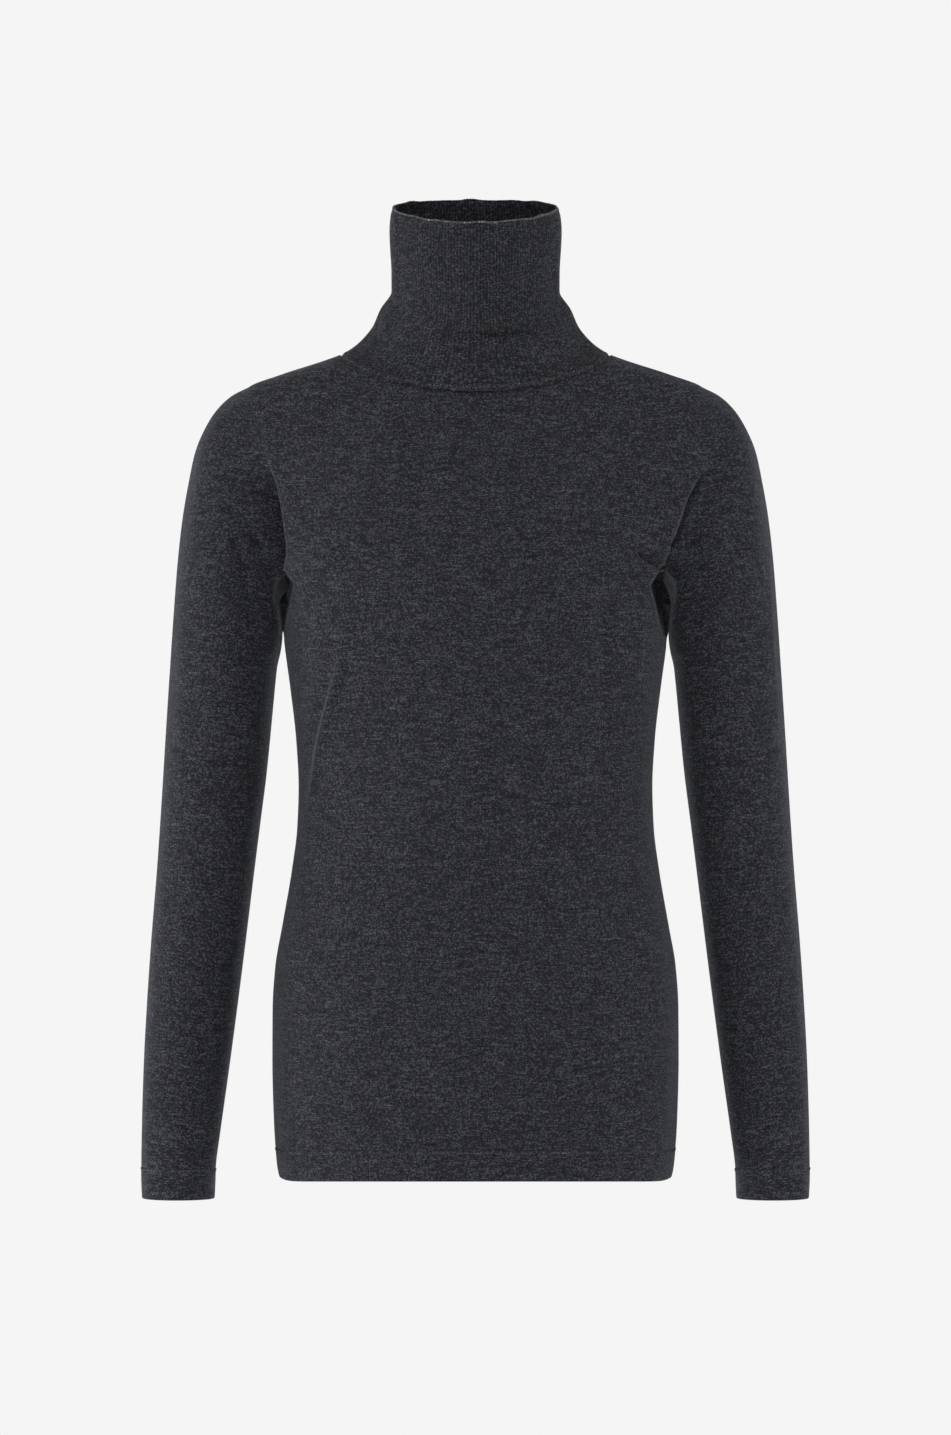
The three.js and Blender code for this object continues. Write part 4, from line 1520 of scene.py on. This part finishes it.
@dataclass
class Sleeve:
    """Sleeve with its cuff band, fitted to the finished armhole."""

    form: SleeveForm
    front: Panel
    back: Panel
    rows: int = 220
    thickness: float = 1.2
    seam_dip: float = 0.2
    seam_width: float = 2.2
    dip_reach: float = 12.0
    touch_level: float = -206
    touch_fade: float = 40
    touch_reach: float = 3.0
    touch_power: float = 5
    touch_limit: float = 6
    ring_probe: float = 0.02
    tuck: float = 1.6
    cuff_seam_ring: int = len(SLEEVE_RINGS) - 2
    points: Array = field(init=False)
    angles: Array = field(init=False)

    @property
    def sign(self) -> int:
        """Sign of X on the sleeve's side, which also turns the grid's normals outward."""
        return self.form.sign

    def edge(self, turn: Array, lines: list[Array]) -> Array:
        """Find what belongs to each angle round the sleeve.

        Args:
            turn: angles from the shoulder tip over the front.
            lines: values along the armhole of the front and of the back.

        Returns:
            Value at each angle.
        """
        up = 1 - np.minimum(turn, 2 * math.pi - turn) / math.pi
        ends = (up < 1e-9) | (up > 1 - 1e-9)
        return join_edges(up, lines, turn <= math.pi, ends)

    def along_rows(self) -> Array:
        """Ring counts of the rows, closer together near the armhole."""
        end = self.cuff_seam_ring + self.tuck / self.front.form.cut.band_depth
        return end * crowded_places(self.rows, 0.35, 0.65, 1.7)

    def build_points(self) -> None:
        """Work out the sleeve from its armhole to the seam of its cuff."""
        columns = 2 * self.front.yoke_rows
        self.angles = np.linspace(-math.pi, math.pi, columns + 1)[:-1]
        round_turn = np.mod(self.angles, 2 * math.pi)
        turn, along = np.broadcast_arrays(round_turn, self.along_rows()[:, None])
        points = self.form.surface(turn, along)
        panels = (self.front, self.back)
        edge = self.edge(round_turn, [p.armhole_edge(self.sign) for p in panels])
        ease = self.edge(round_turn, [p.eases[self.sign] for p in panels])
        edge[:, 0] += self.sign * self.form.body.cut.seam_gap
        start = points[0].copy()
        arc = running_length(points)
        normals = grid_normals(points, True) * self.sign
        lift = self.form.fine_lift(turn, along, points)
        under = math.pi - np.abs(self.angles)
        radius = np.linalg.norm(np.diff(points, axis=1), axis=-1).sum(axis=1) / (2 * math.pi)
        away = under[None] * radius[:, None]
        lift = lift - self.seam_dip * bell(away, self.seam_width)
        lift = lift - LINKING_DIP * bell(arc[-1] - arc, LINKING_WIDTH)
        points = points + normals * lift[..., None]
        near = bell(arc, self.dip_reach)[..., None]
        own = points[0] - start + ease
        points = points + ((edge - start) - own)[None] * near
        points = points + ease[None] * ease_share(arc)[..., None]
        clear = 1 - bell(arc, self.touch_reach)
        points[..., 0] -= self.sign * self.touch(turn, points) * clear
        self.points = points

    def touch(self, turn: Array, points: Array) -> Array:
        """Shift that lays the inner side of the sleeve on the body just under the arm."""
        z = points[..., 2]
        gap = self.sign * points[..., 0] - self.form.body.half_width(z)
        inner = ((1 - np.cos(turn)) / 2) ** self.touch_power
        high = 1 - smooth_step((self.touch_level - z) / self.touch_fade)
        return np.clip(gap, 0, self.touch_limit) * inner * high

    def cloth_uv(self) -> Array:
        """Lay the sleeve out as it was cut, with its courses level across the arm.

        Returns:
            Places in metres, one column more than the points have.
        """
        wide = np.concatenate([self.points, self.points[:, :1]], axis=1)
        axis = unit(wide[-1].mean(axis=0) - wide[0].mean(axis=0))
        level = -(wide @ axis)
        level = level - level[-1].mean()
        arc = running_length(wide)
        from_end = level[-1:] + arc[-1:] - arc
        turn = np.append(self.angles, math.pi)
        outer = np.clip(np.cos(turn), 0, 1) ** 2
        v = level + outer * (from_end - level)
        u = np.zeros(level.shape)
        for step in (1, -1):
            column = len(self.angles) // 2
            while 0 <= column + step < wide.shape[1]:
                rising = np.maximum.accumulate(level[::-1, column])
                column += step
                at = np.clip(level[:, column], rising[0], rising[-1])
                same = sample(at, rising, wide[::-1, column - step])
                across = wide[:, column] - same
                run = (across**2).sum(axis=-1) - (level[:, column] - at) ** 2
                base = np.interp(at, rising, u[::-1, column - step])
                u[:, column] = base + step * np.sqrt(np.maximum(run, 0))
        return np.stack([u, v], axis=-1) * MM

    def cuff_points(self) -> Array:
        """Points of the folded cuff, from its outer top edge round to its inner one."""
        depth = self.form.body.cut.band_depth
        rows = []
        steps = np.array([-1, 0, 1])[:, None] * self.ring_probe
        for height, inset in band_profile(depth):
            along = self.cuff_seam_ring + (depth - height) / depth
            near = self.form.surface(self.angles, along + steps)
            normal = grid_normals(near, True)[1] * self.sign
            rows.append(near[1] - normal * inset)
        return np.stack(rows)


@dataclass
class Collar:
    """Standing ribbed collar, fitted to the finished neckline."""

    form: CollarForm
    front: Panel
    back: Panel
    ribs: int = 168
    rib_steps: int = 4
    rows: int = 62
    rib_depth: float = 0.5
    rib_mean: float = 0.85
    rib_swing: float = 0.25
    rib_pitch: float = 2.2
    thickness: float = 1.5
    dip_reach: float = 4.0
    roll_height: float = 1.4
    roll_place: float = 2.9
    roll_width: float = 1.7
    side_roll: float = 0.12
    rib_start: float = 3.6
    rib_rise: float = 2.6
    rib_end: float = 1.2
    rim_height: float = 0.35
    rim_width: float = 1.6
    chain_rise: float = 0.1
    chain_tilt: float = 0.3
    wave_start: float = 0.55
    wave_depth: float = 0.5
    wave_height: float = 0.45
    points: Array = field(init=False)
    rib_uv: Array = field(init=False)

    def edge(self, angle: Array) -> Array:
        """Finished neckline of the panels at each angle."""
        middle = np.arcsin(np.clip(np.sin(angle), -1, 1))
        share = (middle / QUARTER + 1) / 2
        lines = [panel.neck_edge() for panel in (self.front, self.back)]
        return join_edges(share, lines, np.cos(angle) > 0, np.abs(np.cos(angle)) < 1e-6)

    def build_points(self) -> None:
        """Work out the collar with its ribs, seam roll and uneven rim."""
        columns = self.ribs * self.rib_steps
        angle = np.linspace(0, 2 * math.pi, columns + 1)[:-1]
        top = len(COLLAR_RINGS) - 1
        along = top * crowded_places(self.rows, 0.55, 0.45, 1.35)
        turn, place = np.broadcast_arrays(angle, along[:, None])
        points = self.form.surface(turn, place)
        edge = self.edge(angle)
        edge[:, 2] += self.form.body.cut.seam_gap
        arc = running_length(points)
        total = arc[-1:]
        normals = grid_normals(points, True)
        rib = 0.5 + 0.5 * np.cos(self.ribs * turn)
        ribbed = smooth_step((arc - self.rib_start) / self.rib_rise)
        ribbed = ribbed * smooth_step((total - arc) / self.rib_end)
        drift = self.rib_mean + self.rib_swing * smooth_noise(3, turn, (5, 9, 16, 23))
        lift = self.rib_depth * drift * ribbed * (rib - 0.5)
        roll = bell(arc - self.roll_place, self.roll_width)
        rolled = self.side_roll + (1 - self.side_roll) * np.cos(turn) ** 2
        lift += self.roll_height * roll * rolled
        lift += self.rim_height * bell(total - arc, self.rim_width)
        wave = smooth_step((arc / total - self.wave_start) / (1 - self.wave_start))
        lift += self.wave_depth * wave * smooth_noise(7, turn, (4, 7, 11))
        fade = bell(arc, self.dip_reach)[..., None]
        start = points[0].copy()
        points = points + normals * lift[..., None]
        own = points[0] - start
        points = points - own[None] * fade + (edge - start)[None] * fade
        points[..., 2] += self.wave_height * wave * smooth_noise(11, turn, (6, 9, 14, 22))
        self.points = points
        u = (np.linspace(0, self.ribs, columns + 1) + 0.5) * self.rib_pitch * MM
        v = np.concatenate([arc, arc[:, :1]], axis=1) * MM
        self.rib_uv = np.stack(np.broadcast_arrays(u, v), axis=-1)


@dataclass
class SeamLine:
    """Line of a seam, in millimetres, with the outward direction at each point."""

    points: Array
    normals: Array
    closed: bool = False

    def rounded(self) -> tuple[Array, Array]:
        """Points and normals, with the first repeated at the end of a closed line."""
        parts = (self.points, self.normals)
        return tuple(np.concatenate([part, part[:1]]) if self.closed else part for part in parts)


@dataclass
class StitchRow:
    """Row of linking stitches along a line, each a small leaning loop of yarn."""

    name: str
    pitch: float = 2.05
    length: float = 2.5
    width: float = 0.8
    height: float = 0.5
    lean: float = 0.5
    seed: int = 29
    lean_spread: float = 0.08
    size_spread: float = 0.06
    probe: float = 0.5
    uv_step: float = 7.0

    def model(self) -> tuple[Array, Array]:
        """Model one stitch and give its points and faces.

        Returns:
            Points in a unit box along X, and faces of four corners.
        """
        deselect_all()
        bpy.ops.mesh.primitive_cube_add(size=1)
        stitch = bpy.context.object
        bpy.ops.object.mode_set(mode="EDIT")
        bpy.ops.mesh.select_all(action="SELECT")
        bpy.ops.mesh.subdivide(number_cuts=1, smoothness=1.0)
        bpy.ops.object.mode_set(mode="OBJECT")
        mesh = stitch.data
        points = np.array([v.co[:] for v in mesh.vertices])
        faces = np.array([p.vertices[:] for p in mesh.polygons])
        bpy.data.objects.remove(stitch)
        bpy.data.meshes.remove(mesh)
        return points, faces

    def build(self, lines: list[SeamLine], material: Material) -> Piece:
        """Lay the stitches along lines.

        Args:
            lines: the seams that they follow.
            material: finish of the yarn.

        Returns:
            One object with all the stitches.
        """
        points, faces = self.model()
        all_points = []
        all_faces = []
        all_uvs = []
        dice = np.random.default_rng(self.seed)
        for seam in lines:
            line, normals = seam.rounded()
            arc = running_length(line)
            count = max(1, round(arc[-1] / self.pitch))
            for number in range(count):
                at = arc[-1] * (number + 0.5) / count
                normal = unit(sample(at, arc, normals))
                ahead = sample(at + self.probe, arc, line)
                along = unit(ahead - sample(at - self.probe, arc, line))
                side = unit(np.cross(normal, along))
                lean = self.lean + dice.normal(0, self.lean_spread)
                axis = unit(along * math.cos(lean) + side * math.sin(lean))
                size = np.array([self.length, self.width, self.height])
                size = size * dice.normal(1, self.size_spread, 3)
                turned = np.stack([axis, np.cross(normal, axis), normal])
                all_faces.append(faces + len(points) * len(all_points))
                all_points.append(sample(at, arc, line) + (points * size) @ turned)
                start = np.array([at, self.uv_step * len(all_points)])
                all_uvs.append((points[faces][..., :2] * size[:2] + start) * MM)
        laid = np.concatenate(all_points) * MM
        piece = mesh_object(self.name, laid, np.concatenate(all_faces), np.concatenate(all_uvs))
        dress(piece, material)
        return piece


@dataclass
class SeamTape:
    """Seam allowance inside the garment: two edges bound together by overlock thread."""

    name: str
    width: float = 5.0
    thickness: float = 1.9
    start: float = 0.7
    spacing: float = 2.5
    sides: int = 10
    roundness: float = 0.6

    def section(self) -> Array:
        """Rounded flat section, as insets from the cloth and distances to the side."""
        turn = 2 * math.pi * np.arange(self.sides) / self.sides
        flat = np.copysign(np.abs(np.cos(turn)) ** self.roundness, np.cos(turn))
        tall = np.copysign(np.abs(np.sin(turn)) ** self.roundness, np.sin(turn))
        inset = self.start + self.width * (1 + flat) / 2
        return np.stack([inset, self.thickness / 2 * tall], axis=-1)

    def build(self, lines: list[SeamLine], material: Material) -> Piece:
        """Build the allowance along seam lines.

        Args:
            lines: the seams that it follows.
            material: finish of the cloth.

        Returns:
            One object with the allowance of every line.
        """
        section = self.section()
        reach = 2 * (self.width + self.thickness)
        points = []
        faces = []
        uvs = []
        base = 0
        for seam in lines:
            arc = running_length(seam.points)
            count = max(3, round(arc[-1] / self.spacing))
            at = np.linspace(0, arc[-1], count + 1)
            centre = sample(at, arc, seam.points)
            normal = unit(sample(at, arc, seam.normals))
            side = unit(np.cross(unit(np.gradient(centre, axis=0)), normal))
            inward = normal[:, None] * section[None, :, :1]
            ring = centre[:, None] - inward + side[:, None] * section[None, :, 1:]
            if seam.closed:
                ring[-1] = ring[0]
            points.append(ring.reshape(-1, 3))
            rows, steps = grid_corners(count, self.sides)
            faces.append(base + rows * self.sides + steps % self.sides)
            uvs.append(np.stack([at[rows], steps / self.sides * reach], axis=-1) * MM)
            base += (count + 1) * self.sides
        laid = np.concatenate(points) * MM
        piece = mesh_object(self.name, laid, np.concatenate(faces), np.concatenate(uvs))
        close_ends(piece)
        dress(piece, material)
        return piece


def close_ends(piece: Piece) -> None:
    """Close the open ends of a strip and turn its faces outward."""
    make_active(piece)
    bpy.ops.object.mode_set(mode="EDIT")
    bpy.ops.mesh.select_all(action="SELECT")
    bpy.ops.mesh.remove_doubles(threshold=1e-6)
    bpy.ops.mesh.fill_holes(sides=0)
    bpy.ops.mesh.select_all(action="SELECT")
    bpy.ops.mesh.normals_make_consistent(inside=False)
    bpy.ops.object.mode_set(mode="OBJECT")


# Columns: name, place and width of its square face in metres, watts
LIGHTS = (
    ("front light", (0.0, -4.0, -1.2), 1.2, 47.0),
    ("left light", (-3.5, -0.6, -0.75), 1.6, 80.0),
    ("right light", (3.4, -0.75, -0.75), 1.6, 44.0),
    ("top light", (0.0, -0.6, 2.6), 2.0, 36.0),
    ("back light", (0.0, 4.0, 0.2), 2.0, 60.0),
)


@dataclass
class Studio:
    """Floor, light and camera."""

    camera_height: float = -0.2818
    camera_distance: float = 6.0
    picture_height: float = 1.1064
    floor_level: float = -1.42
    floor_size: float = 5.0
    floor_middle: float = -0.6
    background: float = 0.913
    fill: float = 0.1
    sensor_width: float = 36.0

    def build(self) -> None:
        """Build the whole studio."""
        self.build_floor()
        self.build_world()
        for name, place, size, power in LIGHTS:
            self.build_light(name, place, size, power)
        self.build_camera()

    def build_floor(self) -> None:
        """Lay the plain pale floor."""
        deselect_all()
        place = (0, self.floor_middle, self.floor_level)
        bpy.ops.mesh.primitive_plane_add(size=self.floor_size, location=place)
        floor = bpy.context.object
        floor.name = "floor"
        bpy.ops.object.transform_apply(location=True, rotation=True, scale=True)
        floor.data.materials.append(FloorFinish().material())

    def build_world(self) -> None:
        """Make the pale backdrop, which lights the garment less than it shows."""
        world = bpy.data.worlds.new("studio")
        bpy.context.scene.world = world
        world.use_nodes = True
        board = Board(world.node_tree)
        board.tree.nodes.clear()
        white = (1, 1, 1, 1)
        cast, seen = (
            board.add("ShaderNodeBackground", {"Color": white, "Strength": strength}).outputs[0]
            for strength in (self.fill, self.background)
        )
        seen_share = board.add("ShaderNodeLightPath").outputs["Is Camera Ray"]
        mix = board.add("ShaderNodeMixShader", {0: seen_share, 1: cast, 2: seen})
        board.add("ShaderNodeOutputWorld", {"Surface": mix.outputs[0]})

    def build_light(
        self, name: str, place: tuple[float, float, float], size: float, power: float
    ) -> None:
        """Hang one broad soft light that faces the middle of the garment.

        Args:
            name: name of the light.
            place: where it hangs, in metres.
            size: width of its square face.
            power: watts.
        """
        data = bpy.data.lights.new(name, "AREA")
        data.size = size
        data.energy = power
        light = bpy.data.objects.new(name, data)
        bpy.context.scene.collection.objects.link(light)
        light.location = place
        light.visible_camera = False
        aim = Vector((0, 0, self.camera_height)) - Vector(place)
        light.rotation_euler = aim.to_track_quat("-Z", "Y").to_euler()

    def build_camera(self) -> None:
        """Set the camera level in front of the garment."""
        data = bpy.data.cameras.new("camera")
        data.sensor_width = self.sensor_width
        half = self.picture_height / 2 / self.camera_distance
        data.lens = self.sensor_width / 2 / half
        data.clip_end = 100.0
        camera = bpy.data.objects.new("camera", data)
        bpy.context.scene.collection.objects.link(camera)
        camera.location = (0, -self.camera_distance, self.camera_height)
        camera.rotation_euler = (QUARTER, 0, 0)
        bpy.context.scene.camera = camera
        bpy.context.scene.view_settings.view_transform = "Standard"


@dataclass
class Sweater:
    """The whole garment."""

    wardrobe: Wardrobe
    body: BodyForm = field(default_factory=BodyForm)
    panels: dict[Side, Panel] = field(init=False)
    sleeves: list[Sleeve] = field(init=False)
    collar: Collar = field(init=False)

    def __post_init__(self) -> None:
        """Work out the shape of every piece."""
        self.panels = {side: Panel(side, self.body) for side in Side}
        for panel in self.panels.values():
            panel.build_points()
        front = self.panels[Side.FRONT]
        back = self.panels[Side.BACK]
        self.sleeves = [Sleeve(SleeveForm(sign, self.body), front, back) for sign in (1, -1)]
        for sleeve in self.sleeves:
            sleeve.build_points()
        self.collar = Collar(CollarForm(self.body), front, back)
        self.collar.build_points()

    def build(self) -> None:
        """Build and dress every piece."""
        tape = self.build_tapes()
        stitches = self.build_stitches()
        self.build_panels()
        self.build_sleeves()
        self.build_collar()

    def add_sheet(
        self,
        grid: ClothGrid,
        slot: str,
        node: str,
    ) -> None:
        """Build and dress one sheet of cloth.

        Args:
            grid: its surface.
            slot: name of the wardrobe's finish that it wears.
            node: name of the node that it replaces.
        """
        piece = grid.build()
        dress(piece, getattr(self.wardrobe, slot), (node,))
        flat_area(grid.points, grid.ring)

    def build_panels(self) -> None:
        """Build the front, the back and their hem bands.
        """
        for side, panel in self.panels.items():
            word = side.word
            in_front = side is Side.FRONT
            cloth = ClothGrid(f"cloth_{word}", panel.points, False, not in_front, panel.thickness)
            cloth.uv = panel.cloth_uv
            self.add_sheet(cloth, "jersey", word)
            band = ClothGrid(f"band_{word}", panel.band_points(), False, in_front)
            self.add_sheet(band, "band", f"hem_{word}")

    def build_sleeves(self) -> None:
        """Build the sleeves and their cuffs."""
        for sleeve in self.sleeves:
            word = sleeve.form.word
            flip = sleeve.sign < 0
            cloth = ClothGrid(f"cloth_sleeve_{word}", sleeve.points, True, flip, sleeve.thickness)
            cloth.uv = sleeve.cloth_uv()
            self.add_sheet(cloth, "jersey", f"sleeve_{word}")
            cuff = ClothGrid(f"band_cuff_{word}", sleeve.cuff_points(), True, flip)
            self.add_sheet(cuff, "band", f"cuff_{word}")

    def build_collar(self) -> None:
        """Build the ribbed collar."""
        collar = self.collar
        cloth = ClothGrid("cloth_collar", collar.points, True, False, collar.thickness)
        cloth.uv = collar.rib_uv
        extra = self.build_collar_stitches()
        self.add_sheet(cloth, "rib", "collar")

    def build_stitches(self) -> Piece:
        """Lay the linking stitches over the seams of the hem and the cuffs."""
        lines = []
        for panel in self.panels.values():
            points = panel.band_points()
            normals = grid_normals(points, False) * panel.side.value
            lines.append(SeamLine(points[1], normals[1]))
        for sleeve in self.sleeves:
            points = sleeve.cuff_points()
            normals = grid_normals(points, True) * sleeve.sign
            lines.append(SeamLine(points[1], normals[1], True))
        return StitchRow("linking_stitches").build(lines, self.wardrobe.yarn)

    def build_collar_stitches(self) -> tuple[Piece, Piece]:
        """Lay the chain along the rim of the collar and the linking on its seam roll."""
        collar = self.collar
        normals = grid_normals(collar.points, True)
        up = np.array([0.0, 0.0, 1.0])
        rim = collar.points[-1] - normals[-1] * collar.thickness / 2 + up * collar.chain_rise
        row = int(np.searchsorted(running_length(collar.points[:, 0]), collar.roll_place))
        seam_line = SeamLine(collar.points[row], normals[row], True)
        rim_line = SeamLine(rim, unit(normals[-1] * collar.chain_tilt + up), True)
        chain = StitchRow("rim_chain", pitch=2.25, length=2.7, width=1.3, height=0.9, lean=0.25)
        seam = StitchRow("collar_linking", pitch=2.3, length=2.4, width=0.9, lean=0.9)
        return (
            chain.build([rim_line], self.wardrobe.rim),
            seam.build([seam_line], self.wardrobe.yarn),
        )

    def build_tapes(self) -> Piece:
        """Build the seam allowances inside every seam of the body."""
        front = self.panels[Side.FRONT].points
        back = self.panels[Side.BACK].points
        out_front = grid_normals(front, False) * -Side.FRONT.value
        out_back = grid_normals(back, False) * -Side.BACK.value
        yoke = self.panels[Side.FRONT].lower_rows
        inner = self.panels[Side.FRONT].neck_column
        columns = self.panels[Side.FRONT].columns
        lines = []
        sides = slice(0, yoke + 1)
        shoulders = (slice(0, inner + 1), slice(columns - inner, columns + 1))
        for part in ((sides, 0), (sides, -1), (-1, shoulders[0]), (-1, shoulders[1])):
            out = unit(out_front[part] + out_back[part])
            lines.append(SeamLine((front[part] + back[part]) / 2, out))
        armhole = slice(yoke, None)
        neck = slice(inner, columns + 1 - inner)
        for part in ((armhole, 0), (armhole, -1), (-1, neck)):
            line = np.concatenate([front[part], back[part][-2::-1]])
            out = np.concatenate([out_front[part], out_back[part][-2::-1]])
            lines.append(SeamLine(line, out, True))
        # The first rows of a sleeve already lie under the allowance of the armhole
        skipped = 4
        for sleeve in self.sleeves:
            out = grid_normals(sleeve.points, True) * sleeve.sign
            lines.append(SeamLine(sleeve.points[skipped:, 0], out[skipped:, 0]))
        return SeamTape("seam_allowances").build(lines, self.wardrobe.jersey)


def main() -> None:
    """Dress the frame and set up the studio."""
    logging.basicConfig(level=logging.INFO, format="%(message)s")
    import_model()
    Sweater(make_wardrobe()).build()
    Studio().build()


if __name__ == "__main__":
    main()
